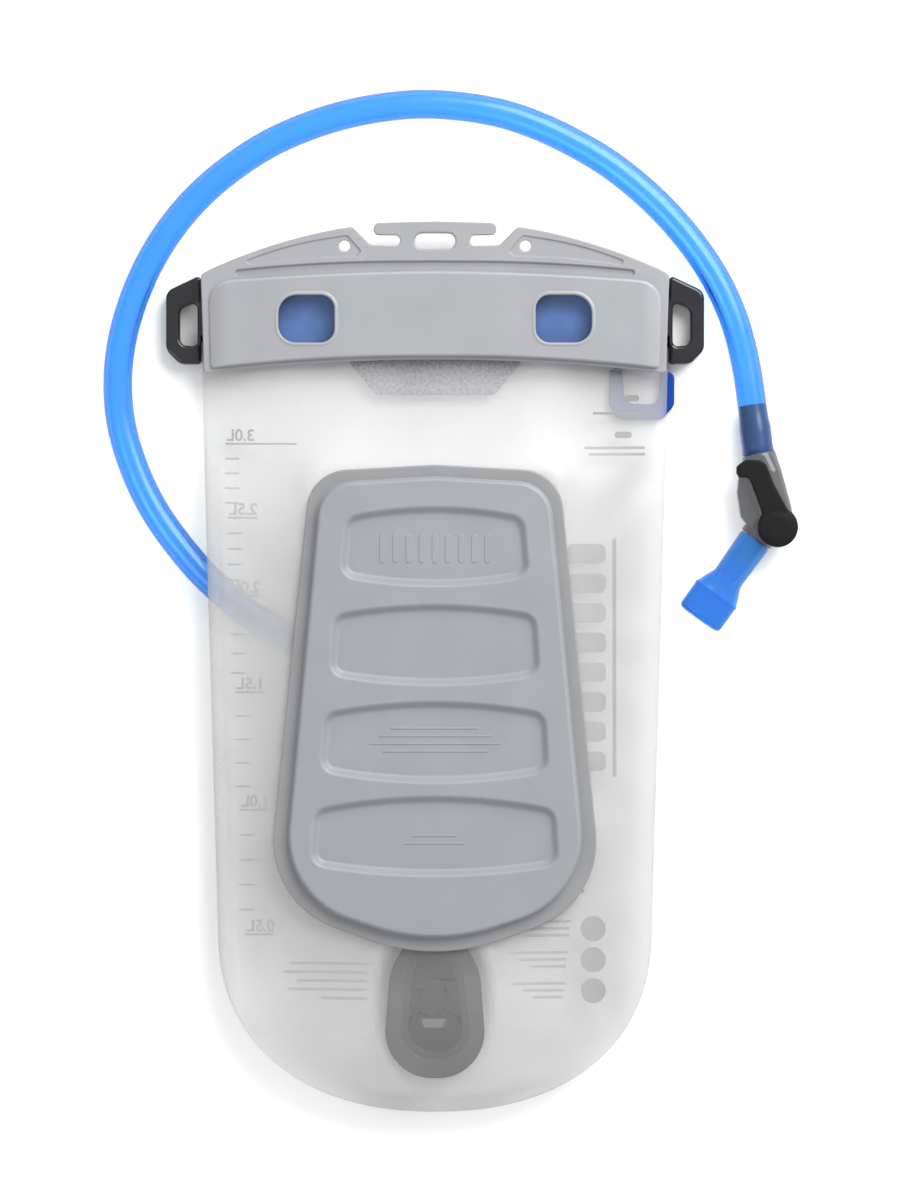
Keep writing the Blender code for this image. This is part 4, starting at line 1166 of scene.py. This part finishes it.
def bite_valve():
    """Soft mouthpiece: a round neck that flares into a flattened head with a slit in its face."""
    start = COLLAR + BITE_WAY * 0.3
    sections = [
        (0.0, 7.0, 7.0, 2), (0.4, 7.6, 7.6, 2), (1.6, 7.7, 7.7, 2), (20.5, 7.3, 7.3, 2),
        (22.4, 7.5, 7.3, 2), (26.0, 9.2, 7.7, 2.1), (30.4, 11.0, 8.0, 2.6),
        (30.8, 11.45, 8.1, 2.7), (31.6, 11.45, 8.1, 2.7), (32.0, 11.2, 7.9, 2.8),
        (36.0, 11.2, 7.6, 3.0), (42.6, 11.2, 7.0, 3.0), (44.0, 10.8, 6.6, 3.0),
        (44.8, 9.8, 5.8, 2.8), (45.2, 7.0, 3.4, 2.4),
    ]
    head = loft("bite_valve_soft", sections, start, BITE_WAY, 64)
    bore = [(0, -1), (4.75, -1), (4.75, 13), (3.6, 24), (0, 24)]
    bore = turned("bite_bore", bore, start, BITE_WAY)
    slit = [(-6.0, 0.6, 0.25, 2), (6.0, 0.6, 0.25, 2)]
    slit_way = BITE_WAY.cross(UP)
    slit = loft("bite_slit", slit, start + BITE_WAY * 44.9, slit_way, 12)
    head = cut(head, bore, slit)
    return finished(head, BITE_BLUE, "mouthpiece", "silicone", "bite_valve", smooth=50)


# Print on the front film

PRINT_UNDER = 0.45  # the print's middle lies this far below the front film's
LEVELS = (104.0, 69.7, 33.8, -10.8, -65.1, -122.6)  # Y of the litre marks, 3 l to 0.5 l
LONG_LINE = 13.5


def scale_edge(y):
    """X where the litre scale starts, beside the slanting weld."""
    return -97.0 + (LEVELS[0] - y) * 0.042


def on_film(tree, x, y):
    """A place on the outside of the front film, in metres."""
    hit = tree.ray_cast(Vector((x, y, 0.06)), Vector((0, 0, -1)))[0]
    return x, y, hit.z - PRINT_UNDER * MM if hit else 0.01


def inked(obj):
    thick = obj.modifiers.new("ink", "SOLIDIFY")
    thick.thickness = 0.06 * MM
    finished(obj, INK, "reservoir", "port", smooth=0)


def print_piece(name, outlines, tree):
    """Flat printed shapes on the outside of the front film."""
    bm = bmesh.new()
    for outline in outlines:
        cap(bm, [loop_of(bm, outline, 0)])
    for axis in (0, 1):
        slice_across(bm, axis, range(-220, 221, 5))
    for v in bm.verts:
        v.co = on_film(tree, v.co.x, v.co.y)
    inked(mesh_object(name, bm))


def box_outline(x, y, wide, high):
    """A rectangle whose lower left corner is at x, y."""
    return [(x, y), (x + wide, y), (x + wide, y + high), (x, y + high)]


def scale_outlines():
    """The litre scale: a long line under each number, and a tick every tenth of a litre."""
    shapes = []
    for i, y in enumerate(LEVELS):
        shapes.append(box_outline(scale_edge(y), y - 1.6, LONG_LINE if i else 33, 0.9))
        if y > LEVELS[-1]:
            for k in range(1, 5):
                tick = y - 1.6 - (y - LEVELS[i + 1]) * k / 5
                shapes.append(box_outline(scale_edge(y), tick, 6.5, 0.8))
    return shapes


def numbers(tree):
    """Mirrored litre numbers, because they are read from the front."""
    for i, y in enumerate(LEVELS):
        text = bpy.data.curves.new("litres_%d" % i, "FONT")
        text.body = "%.1fL" % (3.0 - 0.5 * i)
        text.size = 7.5 * MM
        text.offset = 0.18 * MM
        guide = bpy.data.objects.new("litres_guide", text)
        mesh = evaluated(guide)
        bpy.data.objects.remove(guide, do_unlink=True)
        right = scale_edge(y) + LONG_LINE
        for v in mesh.vertices:
            v.co = on_film(tree, right * MM - v.co.x, (y + 0.3) * MM + v.co.y)
        inked(bpy.data.objects.new("litres_%d" % i, mesh))


def printing():
    """Scale and numbers, and unreadable marks where the photograph has lettering."""
    tree = front_tree()
    print_piece("scale_print", scale_outlines(), tree)
    numbers(tree)
    mark = []
    for y in np.linspace(-44, 52, 8):
        corners = ((79, 4.6), (79, -4.6), (61, -4.6), (61, 4.6))
        mark.append(rounded([(x, y + up, 3) for x, up in corners], 5))
    mark.append(box_outline(82.0, -51, 1.8, 110))
    print_piece("side_print", mark, tree)
    notes = []
    for k, long in enumerate((36, 39, 33, 37, 22)):
        notes.append(bar_outline((-31 - long / 2, -137 - 4.0 * k), long, 1.4))
    for row, y in enumerate((-121.2, -135.5, -149.7)):
        notes.append(bar_outline((73, y), 11.61, 11.6, 0, 10))
        for k in range(3):
            notes.append(bar_outline((48 + 2 * k, y + 3.4 - 3.2 * k), 30 - 5 * k - 3 * row, 1.3))
    lines = (65, -98, 9, 3.2), (64, -104, 10, 1.4), (87, 107, 8, 3.2), (83, 101, 28, 1.3)
    lines += (84, 98, 26, 1.3), (91, 124, 7, 3.0), (84, 117, 22, 1.2)
    notes += [bar_outline((x, y), long, wide) for x, y, long, wide in lines]
    print_piece("notes_print", notes, tree)


# Build

def dress(node, mat, *also):
    """A better material for a CAD node that is kept as it is."""
    for name in (node, *also):
        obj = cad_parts[name]
        for slot in obj.material_slots:
            slot.material = mat


def build():
    studio()
    camera()
    tube, barb, path = hose()
    housing = shutoff_body()
    lever = shutoff_lever()
    mouth = bite_valve()
    front = film_piece("front_film", FRONT_Z, FRONT_FILM)
    back = film_piece("back_film", BACK_Z, BACK_FILM)
    header()
    back_plate()
    zip_strips()
    end_loop("end_loop_left", -1)
    end_loop("end_loop_right", 1)
    zip_pull()
    grip_tab()
    port_flange()
    printing()
    dress("port_base", PORT_SMOKE, "valve_core", "poppet")
    dress("quick_link_plug", LEVER_DARK, "release_latch", "zip_slider")
    dress("pull_strap", SEAL_BLACK, "plug_o_ring", "core_o_ring")
    dress("poppet_spring", STEEL)
    on_it = [barb, housing, lever, mouth]
    on_it += ["quick_link_plug", "plug_o_ring", "valve_core", "core_o_ring"]


build()
